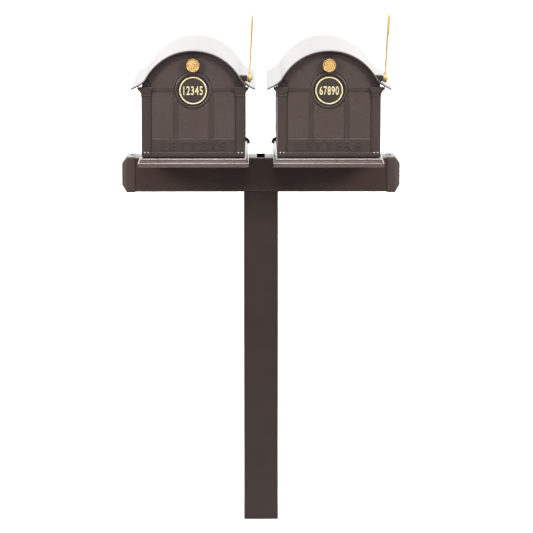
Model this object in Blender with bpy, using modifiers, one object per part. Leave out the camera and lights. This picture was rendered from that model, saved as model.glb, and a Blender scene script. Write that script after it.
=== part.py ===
"""Twin post-mounted mailboxes: two arched cast boxes side by side on a square beam, carried by one post.

Metres, +Z up, the fronts face -Y. The origin is at the middle of the post, on the ground.
Each box has its own empty at the middle of its underside, and its pieces are placed in that empty's frame.
"""

from math import atan2, cos, pi, radians, sin, sqrt

import bmesh
import bpy
from mathutils import Matrix, Vector

# ---- driving dimensions --------------------------------------------------------------------------
GAP = 0.0003                    # between pieces that touch

TUBE_SIDE = 0.1016              # post and beam are the same square tube
TUBE_WALL = 0.003
TUBE_CORNER = 0.004
POST_HEIGHT = 1.000
BEAM_LENGTH = 0.790
BEAM_BOTTOM = POST_HEIGHT + GAP
BEAM_TOP = BEAM_BOTTOM + TUBE_SIDE

CAP_SIDE = 0.1060               # slip-over end cap of the beam
CAP_START = 0.373               # from the middle of the beam to the cap's open rim
CAP_COLLAR = 0.0246
CAP_BEVEL = 0.0146
CAP_FACE = 0.064
CAP_WALL = 0.0016

BOX_SPACING = 0.391             # centre to centre
BOX_FLOOR = BEAM_TOP + GAP      # underside of the boxes

ROOF_FRONT = -0.265
ROOF_BACK = 0.265
ROOF_RADIUS = 0.1566
ROOF_CENTRE = 0.1806            # height of the arc's centre
ROOF_ARC_REACH = 0.136          # the arc ends here and the flared eave begins
EAVE_REACH = 0.1796
EAVE_HEIGHT = 0.227
EAVE_SLOPE = (0.90, -0.435)     # the way the sheet runs at the eave's tip
EAVE_PULL_IN = 0.018
EAVE_PULL_OUT = 0.022
ROOF_SHEET = 0.0035

BASE_HALF_WIDTH = 0.1597
BASE_FRONT = -0.262
BODY_BACK = 0.203
FASCIA = 0.0113
BASE_TOP = 0.0256
BASE_WALL = 0.004
OVOLO_WIDTH = 0.0122            # the rounded moulding above the fascia

WALL_OUT = 0.147                # outer face of a side wall
WALL_IN = 0.1435
DOOR_HALF = 0.149
DOOR_BOTTOM = 0.0268
DOOR_HEAD_GAP = 0.0012          # between the door's arched head and the roof
SHOULDER = 0.2306               # the door's arched head springs from here
DOOR_BACK = -0.237
PANEL_FACE = -0.242             # front of the recessed panels
FRAME_FACE = -0.244             # front of the letter band, stiles and rails
RAISED_FACE = -0.247            # front of the pilasters and of the foot strip
FOOT_ROUNDING = 0.005           # lower front edge of the foot strip
STRIP_TOP = 0.0416
BAND_TOP = 0.080                # top of the letter band
PILASTER_IN = 0.122             # inner edge of a pilaster
PILASTER_TOP = 0.202
NECK_HEIGHTS = (0.2035, 0.209)  # small moulding below the capital
HEAD_INNER_RADIUS = 0.134       # inner edge of the arched head moulding
STILE_IN = 0.045
STILE_OUT = 0.058
RAIL_LOW = 0.217
RAIL_HIGH = 0.229
BOSS_RADIUS = 0.0505            # round boss that the plaque sits on
BOSS_FACE = -0.245
HINGE_Y = -0.239
HINGE_Z = 0.036
HINGE_BORE = 0.0027
HINGE_PIN = 0.0025
HINGE_LUG = 0.0045              # radius of the wall's lug round the pin
LUG_IN = 0.132                  # the door's own lug, inside the wall's
LUG_OUT = 0.142
HOLLOW_IN = 0.1255              # hollow behind a pilaster
HOLLOW_OUT = 0.1400

PLAQUE_HEIGHT = 0.2207
PLAQUE_RADIUS = 0.03975
KNOB_HEIGHT = 0.294
KNOB_RADIUS = 0.019

FLAG_X = 0.162                  # pivot of the flag, in its box's frame
FLAG_Y = -0.215
FLAG_Z = 0.254
FLAG_LEAN = radians(2.8)        # the flag leans away from its box
FLAG_RISE = 0.186
FLAG_THICK = 0.0045

# ---- colours, as linear red, green, blue -----------------------------------------------------------
BRONZE = (0.080, 0.056, 0.050)
BRONZE_TUBE = (0.058, 0.040, 0.036)
GOLD = (0.72, 0.46, 0.15)
PLAQUE_DARK = (0.045, 0.034, 0.030)
BLACK = (0.008, 0.008, 0.008)
STEEL = (0.55, 0.55, 0.54)
ZINC = (0.42, 0.42, 0.41)
NYLON = (0.75, 0.74, 0.70)


def clear_scene():
    for obj in list(bpy.data.objects):
        bpy.data.objects.remove(obj)


def collection(name, hidden=False):
    made = bpy.data.collections.new(name)
    bpy.context.scene.collection.children.link(made)
    made.hide_render = hidden
    return made


clear_scene()
PARTS = collection("twin_post_mailboxes")
TOOLS = collection("cutters", hidden=True)


def material(name, colour, roughness, metallic):
    made = bpy.data.materials.new(name)
    made.use_nodes = True
    shader = made.node_tree.nodes["Principled BSDF"]
    shader.inputs["Base Color"].default_value = (*colour, 1.0)
    shader.inputs["Roughness"].default_value = roughness
    shader.inputs["Metallic"].default_value = metallic
    return made


def place(obj, parent=None, finish=None):
    """Links a finished piece, with a material of its own, or a tool where there is no finish."""
    if finish is None:
        TOOLS.objects.link(obj)
        obj.hide_render = True
        obj.display_type = "WIRE"
    else:
        PARTS.objects.link(obj)
        obj.data.materials.append(material(obj.name, *finish))
    obj.parent = parent
    return obj


def from_bmesh(name, shape, parent, finish):
    mesh = bpy.data.meshes.new(name)
    shape.to_mesh(mesh)
    shape.free()
    return place(bpy.data.objects.new(name, mesh), parent, finish)


def block(name, low, high, parent=None, finish=None, round_edges=0.0):
    """A box between its lowest and highest corners, its edges rounded by a Bevel if asked."""
    low, high = Vector(low), Vector(high)
    shape = bmesh.new()
    bmesh.ops.create_cube(shape, size=1.0)
    bmesh.ops.scale(shape, vec=high - low, verts=shape.verts)
    obj = from_bmesh(name, shape, parent, finish)
    obj.location = (low + high) / 2
    if round_edges:
        bevel(obj, round_edges, 2)
    return obj


def rod(name, radius, start, end, parent=None, finish=None, sides=20):
    """A cylinder between two points."""
    start, end = Vector(start), Vector(end)
    shape = bmesh.new()
    bmesh.ops.create_cone(
        shape, cap_ends=True, segments=sides, radius1=radius, radius2=radius, depth=(end - start).length
    )
    obj = from_bmesh(name, shape, parent, finish)
    obj.location = (start + end) / 2
    obj.rotation_euler = (end - start).to_track_quat("Z", "Y").to_euler()
    smooth(obj)
    return obj


def turned(name, profile, parent=None, finish=None, steps=24):
    """A profile of (radius, height) points, from the top down its outer side, turned about Z."""
    shape = bmesh.new()
    points = [shape.verts.new((radius, 0.0, height)) for radius, height in profile]
    for a, b in zip(points, points[1:]):
        shape.edges.new((a, b))
    obj = from_bmesh(name, shape, parent, finish)
    screw = obj.modifiers.new("turn", "SCREW")
    screw.steps = steps
    screw.render_steps = steps
    screw.use_merge_vertices = True
    screw.merge_threshold = 0.00001
    return obj


def plate(name, outline, front, back, parent=None, finish=None):
    """A flat outline of (x, z) points, given thickness along Y between front and back."""
    curve = bpy.data.curves.new(name, "CURVE")
    curve.dimensions = "2D"
    curve.fill_mode = "BOTH"
    curve.extrude = (back - front) / 2
    spline = curve.splines.new("POLY")
    spline.points.add(len(outline) - 1)
    for point, (x, z) in zip(spline.points, outline):
        point.co = (x, z, 0.0, 1.0)
    spline.use_cyclic_u = True
    drawn = bpy.data.objects.new(name + "_outline", curve)
    bpy.context.scene.collection.objects.link(drawn)
    drawn.rotation_euler = (pi / 2, 0.0, 0.0)
    drawn.location = (0.0, (front + back) / 2, 0.0)
    bpy.context.view_layer.update()
    mesh = bpy.data.meshes.new_from_object(drawn.evaluated_get(bpy.context.evaluated_depsgraph_get()))
    shape = bmesh.new()
    shape.from_mesh(mesh)
    bmesh.ops.remove_doubles(shape, verts=shape.verts, dist=0.00001)
    bmesh.ops.recalc_face_normals(shape, faces=shape.faces)
    shape.to_mesh(mesh)
    shape.free()
    mesh.materials.clear()
    obj = bpy.data.objects.new(name, mesh)
    obj.matrix_world = drawn.matrix_world
    bpy.data.objects.remove(drawn)
    return place(obj, parent, finish)


def bevel(obj, width, segments, angle=30.0):
    modifier = obj.modifiers.new("round_edges", "BEVEL")
    modifier.width = width
    modifier.segments = segments
    modifier.limit_method = "ANGLE"
    modifier.angle_limit = radians(angle)
    return modifier


def combine(obj, operation, others):
    for other in others:
        modifier = obj.modifiers.new(other.name, "BOOLEAN")
        modifier.operation = operation
        modifier.solver = "EXACT"
        modifier.object = other
    return obj


def cut(obj, *tools):
    return combine(obj, "DIFFERENCE", tools)


def join(obj, *pieces):
    return combine(obj, "UNION", pieces)


def smooth(obj, angle=35.0):
    obj.data.shade_smooth()
    obj.data.set_sharp_from_angle(angle=radians(angle))


def empty(name, location, parent=None, lean=0.0):
    made = bpy.data.objects.new(name, None)
    PARTS.objects.link(made)
    made.parent = parent
    made.location = location
    made.rotation_euler = (0.0, lean, 0.0)
    return made


# ---- the roof's cross-section, which several pieces follow -----------------------------------------
def roof_half(offset, arc_steps=12, eave_steps=6):
    """Right half of the roof line, crown to eave: an arc, then a Bezier flare, moved out by offset."""
    start = Vector((ROOF_ARC_REACH, ROOF_CENTRE + sqrt(ROOF_RADIUS**2 - ROOF_ARC_REACH**2)))
    end = Vector((EAVE_REACH, EAVE_HEIGHT))
    last_angle = atan2(start.x, start.y - ROOF_CENTRE)
    start_pull = Vector((cos(last_angle), -sin(last_angle))) * EAVE_PULL_IN
    end_pull = Vector(EAVE_SLOPE) * EAVE_PULL_OUT
    line = []
    for step in range(arc_steps + 1):
        angle = last_angle * step / arc_steps
        normal = Vector((sin(angle), cos(angle)))
        line.append(Vector((0.0, ROOF_CENTRE)) + normal * (ROOF_RADIUS + offset))
    a, b, c, d = start, start + start_pull, end - end_pull, end
    for step in range(1, eave_steps + 1):
        t = step / eave_steps
        u = 1 - t
        point = a * u**3 + b * 3 * u * u * t + c * 3 * u * t * t + d * t**3
        slope = ((b - a) * u * u + (c - b) * 2 * u * t + (d - c) * t * t).normalized()
        line.append(point + Vector((-slope.y, slope.x)) * offset)
    return [(point.x, point.y) for point in line]


def mirrored(half):
    """A whole line from its right half: left end, over the crown, to the right end."""
    return [(-x, z) for x, z in reversed(half[1:])] + half


def under_roof(half_width, clearance):
    """The line just below the roof sheet, left to right, between two upright sides."""
    line = roof_half(-ROOF_SHEET - clearance)
    kept = [point for point in line if point[0] < half_width]
    before, after = kept[-1], line[len(kept)]
    share = (half_width - before[0]) / (after[0] - before[0])
    kept.append((half_width, before[1] + share * (after[1] - before[1])))
    return mirrored(kept)


def ovolo(steps, spread=0.0):
    """Right side of the base moulding, fascia edge up to the side wall, moved out by spread."""
    centre_x = BASE_HALF_WIDTH - OVOLO_WIDTH
    height = BASE_TOP - FASCIA
    turn = [pi / 2 * step / steps for step in range(steps + 1)]
    return [
        (centre_x + spread + OVOLO_WIDTH * cos(angle), FASCIA + spread * sin(angle) + height * sin(angle))
        for angle in turn
    ]


def arc_points(radius, first, last, steps, centre_z=ROOF_CENTRE):
    """Points on a circle about the box's middle line, by angle from straight up, clockwise."""
    angles = [radians(first + (last - first) * step / steps) for step in range(steps + 1)]
    return [(radius * sin(angle), centre_z + radius * cos(angle)) for angle in angles]


# ---- finishes ----------------------------------------------------------------------------------------
CASTING = (BRONZE, 0.42, 0.0)
TUBING = (BRONZE_TUBE, 0.38, 0.0)
GOLD_PAINT = (GOLD, 0.35, 0.6)
PLAQUE = (PLAQUE_DARK, 0.45, 0.0)
RUBBER = (BLACK, 0.7, 0.0)
STEEL_PLATE = (STEEL, 0.4, 1.0)
ZINC_STEEL = (ZINC, 0.35, 1.0)
PLASTIC = (NYLON, 0.5, 0.0)


# ---- post, beam and their fittings ---------------------------------------------------------------------
def square_tube(name, low, high, along, finish):
    """A square tube with rounded long edges, open at both ends of the axis it runs along."""
    longer_than_side = 1.5 * TUBE_SIDE
    tube = block(name, low, high, finish=finish)
    rounded = bevel(tube, TUBE_CORNER, 2)
    rounded.limit_method = "WEIGHT"
    weights = tube.data.attributes.new("bevel_weight_edge", "FLOAT", "EDGE")
    for edge in tube.data.edges:
        a, b = (tube.data.vertices[index].co for index in edge.vertices)
        weights.data[edge.index].value = 1.0 if abs(a[along] - b[along]) > longer_than_side else 0.0
    inner_low = [value + TUBE_WALL for value in low]
    inner_high = [value - TUBE_WALL for value in high]
    inner_low[along] = low[along] - 0.01
    inner_high[along] = high[along] + 0.01
    return cut(tube, block(name + "_bore", inner_low, inner_high))


SLOT_HALF_X = 0.0095            # access slot in the top of the beam
SLOT_HALF_Y = 0.0355
SADDLE_BOLT_Y = 0.022
SADDLE_BOLT = 0.005
CAP_SCREW_X = 0.3825
CAP_SCREW = 0.0022
BOX_BOLT_Y = 0.028
BOX_BOLT = 0.004


def make_post_and_beam():
    half = TUBE_SIDE / 2
    post = square_tube("post", (-half, -half, 0.0), (half, half, POST_HEIGHT), 2, TUBING)
    smooth(post)
    beam = square_tube(
        "beam", (-BEAM_LENGTH / 2, -half, BEAM_BOTTOM), (BEAM_LENGTH / 2, half, BEAM_TOP), 0, TUBING
    )
    smooth(beam)
    top = (BEAM_TOP - 0.01, BEAM_TOP + 0.01)
    holes = [
        block("slot_cut", (-SLOT_HALF_X, -SLOT_HALF_Y, top[0]), (SLOT_HALF_X, SLOT_HALF_Y, top[1])),
    ]
    for sign in (-1, 1):
        y = sign * SADDLE_BOLT_Y
        low, high = (0, y, BEAM_BOTTOM - 0.01), (0, y, BEAM_BOTTOM + 0.01)
        holes.append(rod(f"saddle_hole_{sign}", SADDLE_BOLT + GAP, low, high))
        x = sign * CAP_SCREW_X
        holes.append(rod(f"cap_screw_hole_{sign}", CAP_SCREW + GAP, (x, 0, top[0]), (x, 0, top[1])))
        for turn in (-1, 1):
            x, y = sign * BOX_SPACING / 2, turn * BOX_BOLT_Y
            low, high = (x, y, top[0]), (x, y, top[1])
            holes.append(rod(f"box_bolt_hole_{sign}_{turn}", BOX_BOLT + GAP, low, high))
    cut(beam, *holes)


def make_saddle():
    """An upturned channel inside the head of the post, which the beam is bolted down to."""
    half = TUBE_SIDE / 2 - TUBE_WALL - GAP
    leg = 0.070
    sheet = 0.005
    low, high = (-half, -half, POST_HEIGHT - leg), (half, half, POST_HEIGHT - GAP)
    saddle = block("post_saddle", low, high, finish=ZINC_STEEL)
    inside = block(
        "saddle_inside",
        (-half + sheet, -half - 0.01, POST_HEIGHT - leg - 0.01),
        (half - sheet, half + 0.01, POST_HEIGHT - GAP - sheet),
    )
    cut(saddle, inside)
    bevel(saddle, 0.001, 1)
    for side, sign in (("front", -1), ("rear", 1)):
        y = sign * SADDLE_BOLT_Y
        tip = POST_HEIGHT - 0.022
        seat = BEAM_BOTTOM + TUBE_WALL + GAP
        cut(saddle, rod(f"saddle_bore_{side}", SADDLE_BOLT + GAP, (0, y, tip - 0.01), (0, y, seat)))
        name = f"saddle_bolt_{side}"
        bolt = rod(name, 0.0085, (0, y, seat), (0, y, seat + 0.0064), finish=ZINC_STEEL, sides=6)
        join(bolt, rod(name + "_shank", SADDLE_BOLT, (0, y, tip), (0, y, seat + 0.003), sides=16))


def make_end_caps():
    """Slip-over caps: a square collar that narrows to a smaller flat face, hollow inside."""
    corner = sqrt(2.0)
    bore = TUBE_SIDE / 2 + GAP
    length = CAP_COLLAR + CAP_BEVEL
    profile = [
        (0.0, length),
        (CAP_FACE / 2 * corner, length),
        (CAP_SIDE / 2 * corner, CAP_COLLAR),
        (CAP_SIDE / 2 * corner, 0.0),
        (bore * corner, 0.0),
        (bore * corner, CAP_COLLAR - 0.001),
        ((CAP_FACE / 2 - 0.003) * corner, length - CAP_WALL * 2),
        (0.0, length - CAP_WALL * 2),
    ]
    middle = BEAM_BOTTOM + TUBE_SIDE / 2
    for side, sign in (("left", -1), ("right", 1)):
        cap = turned(f"beam_cap_{side}", profile, finish=CASTING, steps=4)
        cap.matrix_world = (
            Matrix.Translation((sign * CAP_START, 0.0, middle))
            @ Matrix.Rotation(sign * pi / 2, 4, "Y")
            @ Matrix.Rotation(pi / 4, 4, "Z")
        )
        x = sign * CAP_SCREW_X
        top = middle + CAP_SIDE / 2
        bottom = BEAM_TOP - 0.012
        cut(cap, rod(f"cap_bore_{side}", CAP_SCREW + GAP, (x, 0, BEAM_TOP - 0.005), (x, 0, top + 0.01)))
        screw = turned(
            f"cap_screw_{side}",
            [
                (0.0, 0.0022),
                (0.0026, 0.0020),
                (0.0046, 0.0011),
                (0.0048, 0.0),
                (CAP_SCREW, 0.0),
                (CAP_SCREW, bottom - top),
                (0.0, bottom - top - 0.002),
            ],
            finish=CASTING,
            steps=16,
        )
        screw.location = (x, 0.0, top + GAP)


def make_access_plug():
    """Push-in cover of the slot through which the saddle's bolts are reached."""
    flange = 0.0025
    half_x, half_y = SLOT_HALF_X + flange, SLOT_HALF_Y + flange
    low, high = (-half_x, -half_y, BEAM_TOP + GAP), (half_x, half_y, BEAM_TOP + 0.002)
    plug = block("access_plug", low, high, finish=RUBBER, round_edges=0.0008)
    half_x, half_y = SLOT_HALF_X - 2 * GAP, SLOT_HALF_Y - 2 * GAP
    join(plug, block("plug_body", (-half_x, -half_y, BEAM_TOP - 0.008), (half_x, half_y, BEAM_TOP + 0.001)))


# ---- one mailbox -------------------------------------------------------------------------------------
def make_roof(side, box):
    """Arched sheet with flared eaves, thickened inwards from its outer surface."""
    line = mirrored(roof_half(0.0))
    shape = bmesh.new()
    front = [shape.verts.new((x, ROOF_FRONT, z)) for x, z in line]
    rim = [shape.edges.new(pair) for pair in zip(front, front[1:])]
    swept = bmesh.ops.extrude_edge_only(shape, edges=rim)["geom"]
    moved = [item for item in swept if isinstance(item, bmesh.types.BMVert)]
    bmesh.ops.translate(shape, verts=moved, vec=(0.0, ROOF_BACK - ROOF_FRONT, 0.0))
    bmesh.ops.recalc_face_normals(shape, faces=shape.faces)
    if sum(face.normal.z for face in shape.faces) < 0:
        bmesh.ops.reverse_faces(shape, faces=shape.faces)
    roof = from_bmesh(f"{side}_roof", shape, box, CASTING)
    sheet = roof.modifiers.new("sheet", "SOLIDIFY")
    sheet.thickness = ROOF_SHEET
    sheet.offset = -1.0
    sheet.use_even_offset = True
    smooth(roof, 25.0)
    return roof


def make_base(side, box):
    """Plinth casting: a fascia with a rounded moulding round the front and sides, hollow below."""
    stretch = (BASE_TOP - FASCIA) / OVOLO_WIDTH
    height = BASE_TOP / stretch
    shape = bmesh.new()
    bmesh.ops.create_cube(shape, size=1.0)
    bmesh.ops.scale(shape, vec=(2 * BASE_HALF_WIDTH, BODY_BACK - BASE_FRONT, height), verts=shape.verts)
    moulded = [
        edge
        for edge in shape.edges
        if all(vert.co.z > 0 for vert in edge.verts) and not all(vert.co.y > 0 for vert in edge.verts)
    ]
    bmesh.ops.bevel(shape, geom=moulded, offset=OVOLO_WIDTH, segments=5, profile=0.5, affect="EDGES")
    bmesh.ops.scale(shape, vec=(1.0, 1.0, stretch), verts=shape.verts)
    base = from_bmesh(f"{side}_base", shape, box, CASTING)
    base.location = (0.0, (BASE_FRONT + BODY_BACK) / 2, BASE_TOP / 2)
    hollow = block(
        f"{side}_base_hollow",
        (-BASE_HALF_WIDTH + OVOLO_WIDTH, BASE_FRONT + OVOLO_WIDTH, -0.01),
        (BASE_HALF_WIDTH - OVOLO_WIDTH, BODY_BACK - BASE_WALL, BASE_TOP - BASE_WALL),
        box,
    )
    cut(base, hollow, *bolt_holes(f"{side}_base", box, -0.01, BASE_TOP + 0.01))
    smooth(base, 25.0)


def bolt_holes(name, box, low, high):
    """Upright cutters for the two bolts that hold a box down."""
    holes = []
    for turn in (-1, 1):
        y = turn * BOX_BOLT_Y
        holes.append(rod(f"{name}_hole_{turn}", BOX_BOLT + GAP, (0, y, low), (0, y, high), box, sides=16))
    return holes


def make_floor_and_saddle(side, box):
    """Sheet floor on the base, and the channel between base and beam that the bolts clamp."""
    pan_low = BASE_TOP + GAP
    pan_high = pan_low + 0.0015
    pan = block(
        f"{side}_floor_pan",
        (-WALL_IN + 0.0008, HINGE_Y + 0.012, pan_low),
        (WALL_IN - 0.0008, BODY_BACK - 0.0005, pan_high),
        box,
        STEEL_PLATE,
    )
    cut(pan, *bolt_holes(f"{side}_pan", box, pan_low - 0.01, pan_high + 0.01))

    top = BASE_TOP - BASE_WALL - GAP
    wall = 0.004
    half, front, rear = 0.050, -0.200, 0.150
    channel = block(f"{side}_mounting_channel", (-half, front, GAP), (half, rear, top), box, ZINC_STEEL)
    low, high = (-half + wall, front - 0.01, -0.01), (half - wall, rear + 0.01, top - wall)
    inside = block(f"{side}_channel_inside", low, high, box)
    cut(channel, inside, *bolt_holes(f"{side}_channel", box, -0.02, top + 0.01))
    bevel(channel, 0.0012, 1)

    for place_name, turn in (("front", -1), ("rear", 1)):
        y = turn * BOX_BOLT_Y
        seat = pan_high + GAP
        name = f"{side}_box_bolt_{place_name}"
        bolt = rod(name, 0.0065, (0, y, seat), (0, y, seat + 0.0045), box, ZINC_STEEL, sides=6)
        join(bolt, rod(name + "_shank", BOX_BOLT, (0, y, -0.014), (0, y, seat + 0.002), box, sides=16))


WALL_CROWN = 0.275              # the wall's blank, before the roof's line cuts it
PIN_PROFILE = [
    (0.0, 0.0020),
    (0.0032, 0.0018),
    (0.0040, 0.0010),
    (0.0040, 0.0),
    (HINGE_PIN, 0.0),
    (HINGE_PIN, -0.0125),
    (0.0, -0.0132),
]


def make_walls(side, box):
    """Upright side walls, cut to the roof's underside, with a lug for the door's pin at the foot."""
    front = DOOR_BACK + 0.0005
    above = mirrored(roof_half(-ROOF_SHEET - GAP))
    over_roof = [(-0.2, above[0][1])] + above + [(0.2, above[-1][1]), (0.2, 0.4), (-0.2, 0.4)]
    for wall_name, sign in (("plain_side", -1), ("flag_side", 1)):
        name = f"{side}_wall_{wall_name}"
        low_x, high_x = sorted((sign * WALL_IN, sign * WALL_OUT))
        low, high = (low_x, front, BASE_TOP + GAP), (high_x, BODY_BACK, WALL_CROWN)
        wall = block(name, low, high, box, CASTING)
        top_cut = plate(name + "_top_cut", over_roof, front - 0.01, BODY_BACK + 0.01, box)
        low, high = (low_x - 0.01, front - 0.01, 0.0), (high_x + 0.01, HINGE_Y + 0.011, HINGE_Z - HINGE_LUG)
        foot_cut = block(name + "_foot_cut", low, high, box)
        low, high = (low_x, HINGE_Y, HINGE_Z - HINGE_LUG), (high_x, HINGE_Y + 0.012, HINGE_Z + HINGE_LUG)
        neck = block(name + "_neck", low, high, box)
        low, high = (low_x, HINGE_Y, HINGE_Z), (high_x, HINGE_Y, HINGE_Z)
        lug = rod(name + "_lug", HINGE_LUG, low, high, box, sides=24)
        low, high = (low_x - 0.01, HINGE_Y, HINGE_Z), (high_x + 0.01, HINGE_Y, HINGE_Z)
        bore = rod(name + "_bore", HINGE_BORE, low, high, box, sides=16)
        cut(wall, top_cut, foot_cut)
        join(wall, neck, lug)
        cut(wall, bore)

        pin = turned(f"{side}_hinge_pin_{wall_name}", PIN_PROFILE, box, ZINC_STEEL, steps=16)
        pin.location = (sign * (WALL_OUT + GAP), HINGE_Y, HINGE_Z)
        pin.rotation_euler = (0.0, sign * pi / 2, 0.0)
        smooth(pin)


SEAL_SHEET = 0.0026
BACK_SHEET = 0.004
FIELD_RISE = 0.0015             # raised field of the back panel
FIELD_MARGIN = 0.018
BACK_SCREW_X = 0.060
BACK_SCREW_Z = 0.0172
BACK_SCREW_HOLE = 0.0028
BACK_SCREW_PROFILE = [
    (0.0, 0.0024),
    (0.0030, 0.0021),
    (0.0046, 0.0010),
    (0.0048, 0.0),
    (0.0022, 0.0),
    (0.0022, -0.0068),
    (0.0, -0.0074),
]


def make_back(side, box):
    """Back panel with a black seal between it and the body, and two screws into the walls' edges."""

    def outline(spread):
        half_width = WALL_OUT + spread
        upper = under_roof(half_width, GAP + 0.0002)
        foot = [(x, z) for x, z in ovolo(5, spread) if x > half_width]
        right = foot + [(half_width, foot[-1][1])]
        left = [(-x, z) for x, z in reversed(right)]
        return right + list(reversed(upper)) + left

    def arched(half_width, foot, clearance):
        return [(-half_width, foot), (half_width, foot)] + list(reversed(under_roof(half_width, clearance)))

    front = BODY_BACK + GAP
    seal = plate(f"{side}_back_seal", outline(0.0036), front, front + SEAL_SHEET, box, RUBBER)
    rim = 0.010
    window = arched(WALL_IN - rim, BASE_TOP + rim, rim)
    cut(seal, plate(f"{side}_seal_window", window, front - 0.01, front + 0.01, box))

    panel_front = front + SEAL_SHEET + GAP
    panel_back = panel_front + BACK_SHEET
    panel = plate(f"{side}_back_panel", outline(0.0008), panel_front, panel_back, box, CASTING)
    field = arched(WALL_OUT - FIELD_MARGIN, BASE_TOP + FIELD_MARGIN, FIELD_MARGIN)
    join(panel, plate(f"{side}_back_field", field, panel_back - 0.001, panel_back + FIELD_RISE, box))
    for corner, sign in (("plain_side", -1), ("flag_side", 1)):
        x, z = sign * BACK_SCREW_X, BACK_SCREW_Z
        low, high = (x, front - 0.01, z), (x, panel_back + 0.01, z)
        for piece in (seal, panel):
            cut(piece, rod(f"{piece.name}_hole_{corner}", BACK_SCREW_HOLE, low, high, box, sides=12))
        screw = turned(f"{side}_back_screw_{corner}", BACK_SCREW_PROFILE, box, ZINC_STEEL, steps=16)
        screw.location = (x, panel_back + GAP, z)
        screw.rotation_euler = (-pi / 2, 0.0, 0.0)
        smooth(screw)


def door_outline():
    """Straight sides and foot, and an arched head that clears the roof."""
    reach = 64.0
    head = arc_points(ROOF_RADIUS - ROOF_SHEET - DOOR_HEAD_GAP, -reach, reach, 22)
    left = [(-DOOR_HALF, DOOR_BOTTOM), (-DOOR_HALF, SHOULDER)]
    right = [(DOOR_HALF, SHOULDER), (DOOR_HALF, DOOR_BOTTOM)]
    return left + head + right


def make_door(side, box):
    """Cast door: recessed panels between pilasters, an arched head moulding and a foot strip."""
    lap = 0.001
    reach = 62.0
    behind = PANEL_FACE + 0.002
    hinge = empty(f"{side}_door_hinge", (0.0, HINGE_Y, HINGE_Z), box)
    frame = empty(f"{side}_door_frame", (0.0, -HINGE_Y, -HINGE_Z), hinge)
    door = plate(f"{side}_door", door_outline(), PANEL_FACE, DOOR_BACK, frame, CASTING)

    def raised(name, low_x, high_x, low_z, high_z, face):
        return block(f"{side}_{name}", (low_x, face, low_z), (high_x, behind, high_z), frame)

    pieces = [
        rounded_strip(side, frame, behind),
        raised("letter_band", -PILASTER_IN - lap, PILASTER_IN + lap, STRIP_TOP - lap, BAND_TOP, FRAME_FACE),
    ]
    for name, sign in (("plain", -1), ("flag", 1)):
        edges = sorted((sign * PILASTER_IN, sign * DOOR_HALF))
        pieces.append(raised(f"pilaster_{name}", *edges, STRIP_TOP - lap, PILASTER_TOP, RAISED_FACE))
        edges = sorted((sign * (PILASTER_IN - 0.0015), sign * (DOOR_HALF + 0.0015)))
        pieces.append(raised(f"neck_{name}", *edges, *NECK_HEIGHTS, RAISED_FACE - 0.002))
        pieces.append(capital(side, name, sign, frame, behind))
        edges = sorted((sign * STILE_IN, sign * STILE_OUT))
        pieces.append(raised(f"stile_{name}", *edges, BAND_TOP - lap, RAIL_HIGH + 0.0005, FRAME_FACE))
        edges = sorted((sign * STILE_IN, sign * (PILASTER_IN - lap)))
        pieces.append(raised(f"upper_rail_{name}", *edges, RAIL_LOW, RAIL_HIGH, FRAME_FACE))
    crown = arc_points(ROOF_RADIUS - ROOF_SHEET - 0.0018, -reach, reach, 22)
    crown += list(reversed(arc_points(HEAD_INNER_RADIUS, -reach, reach, 22)))
    pieces.append(plate(f"{side}_head_moulding", crown, RAISED_FACE, behind, frame))
    low, high = (0, BOSS_FACE, PLAQUE_HEIGHT), (0, behind, PLAQUE_HEIGHT)
    pieces.append(rod(f"{side}_plaque_boss", BOSS_RADIUS, low, high, frame, sides=32))
    join(door, *pieces)

    low, high = (0, RAISED_FACE - 0.01, KNOB_HEIGHT), (0, DOOR_BACK + 0.01, KNOB_HEIGHT)
    tools = [rod(f"{side}_knob_hole", 0.003 + GAP, low, high, frame, sides=16)]
    lugs = []
    lug_half, slot_half = 0.0065, HINGE_LUG + 0.0005
    for name, sign in (("plain", -1), ("flag", 1)):
        low_x, high_x = sorted((sign * LUG_IN, sign * LUG_OUT))
        low = (low_x, PANEL_FACE + 0.001, HINGE_Z - lug_half)
        high = (high_x, HINGE_Y + 0.0046, HINGE_Z + lug_half)
        lugs.append(block(f"{side}_hinge_block_{name}", low, high, frame))
        low_x, high_x = sorted((sign * (LUG_OUT + 0.0002), sign * (DOOR_HALF + 0.011)))
        low = (low_x, HINGE_Y - slot_half, DOOR_BOTTOM - 0.01)
        high = (high_x, DOOR_BACK + 0.01, HINGE_Z + slot_half)
        tools.append(block(f"{side}_lug_slot_{name}", low, high, frame))
        low_x, high_x = sorted((sign * (LUG_IN + 0.001), sign * (DOOR_HALF + 0.001)))
        low, high = (low_x, HINGE_Y, HINGE_Z), (high_x, HINGE_Y, HINGE_Z)
        tools.append(rod(f"{side}_pin_bore_{name}", HINGE_BORE, low, high, frame, sides=16))
        low_x, high_x = sorted((sign * HOLLOW_IN, sign * HOLLOW_OUT))
        low, high = (low_x, RAISED_FACE + 0.003, 0.052), (high_x, DOOR_BACK + 0.01, 0.196)
        tools.append(block(f"{side}_pilaster_hollow_{name}", low, high, frame))
    join(door, *lugs)
    cut(door, *tools)
    return frame


def rounded_strip(side, frame, behind):
    """Foot strip of the door, its lower front edge rounded so that it turns clear of the base."""
    low, high = (-DOOR_HALF, RAISED_FACE, DOOR_BOTTOM), (DOOR_HALF, behind, STRIP_TOP)
    strip = block(f"{side}_foot_strip", low, high, frame)
    weights = strip.data.attributes.new("bevel_weight_edge", "FLOAT", "EDGE")
    for edge in strip.data.edges:
        ends = [strip.data.vertices[index].co for index in edge.vertices]
        if all(end.y < 0 and end.z < 0 for end in ends):
            weights.data[edge.index].value = 1.0
    rounding = bevel(strip, FOOT_ROUNDING, 4)
    rounding.limit_method = "WEIGHT"
    return strip


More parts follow.
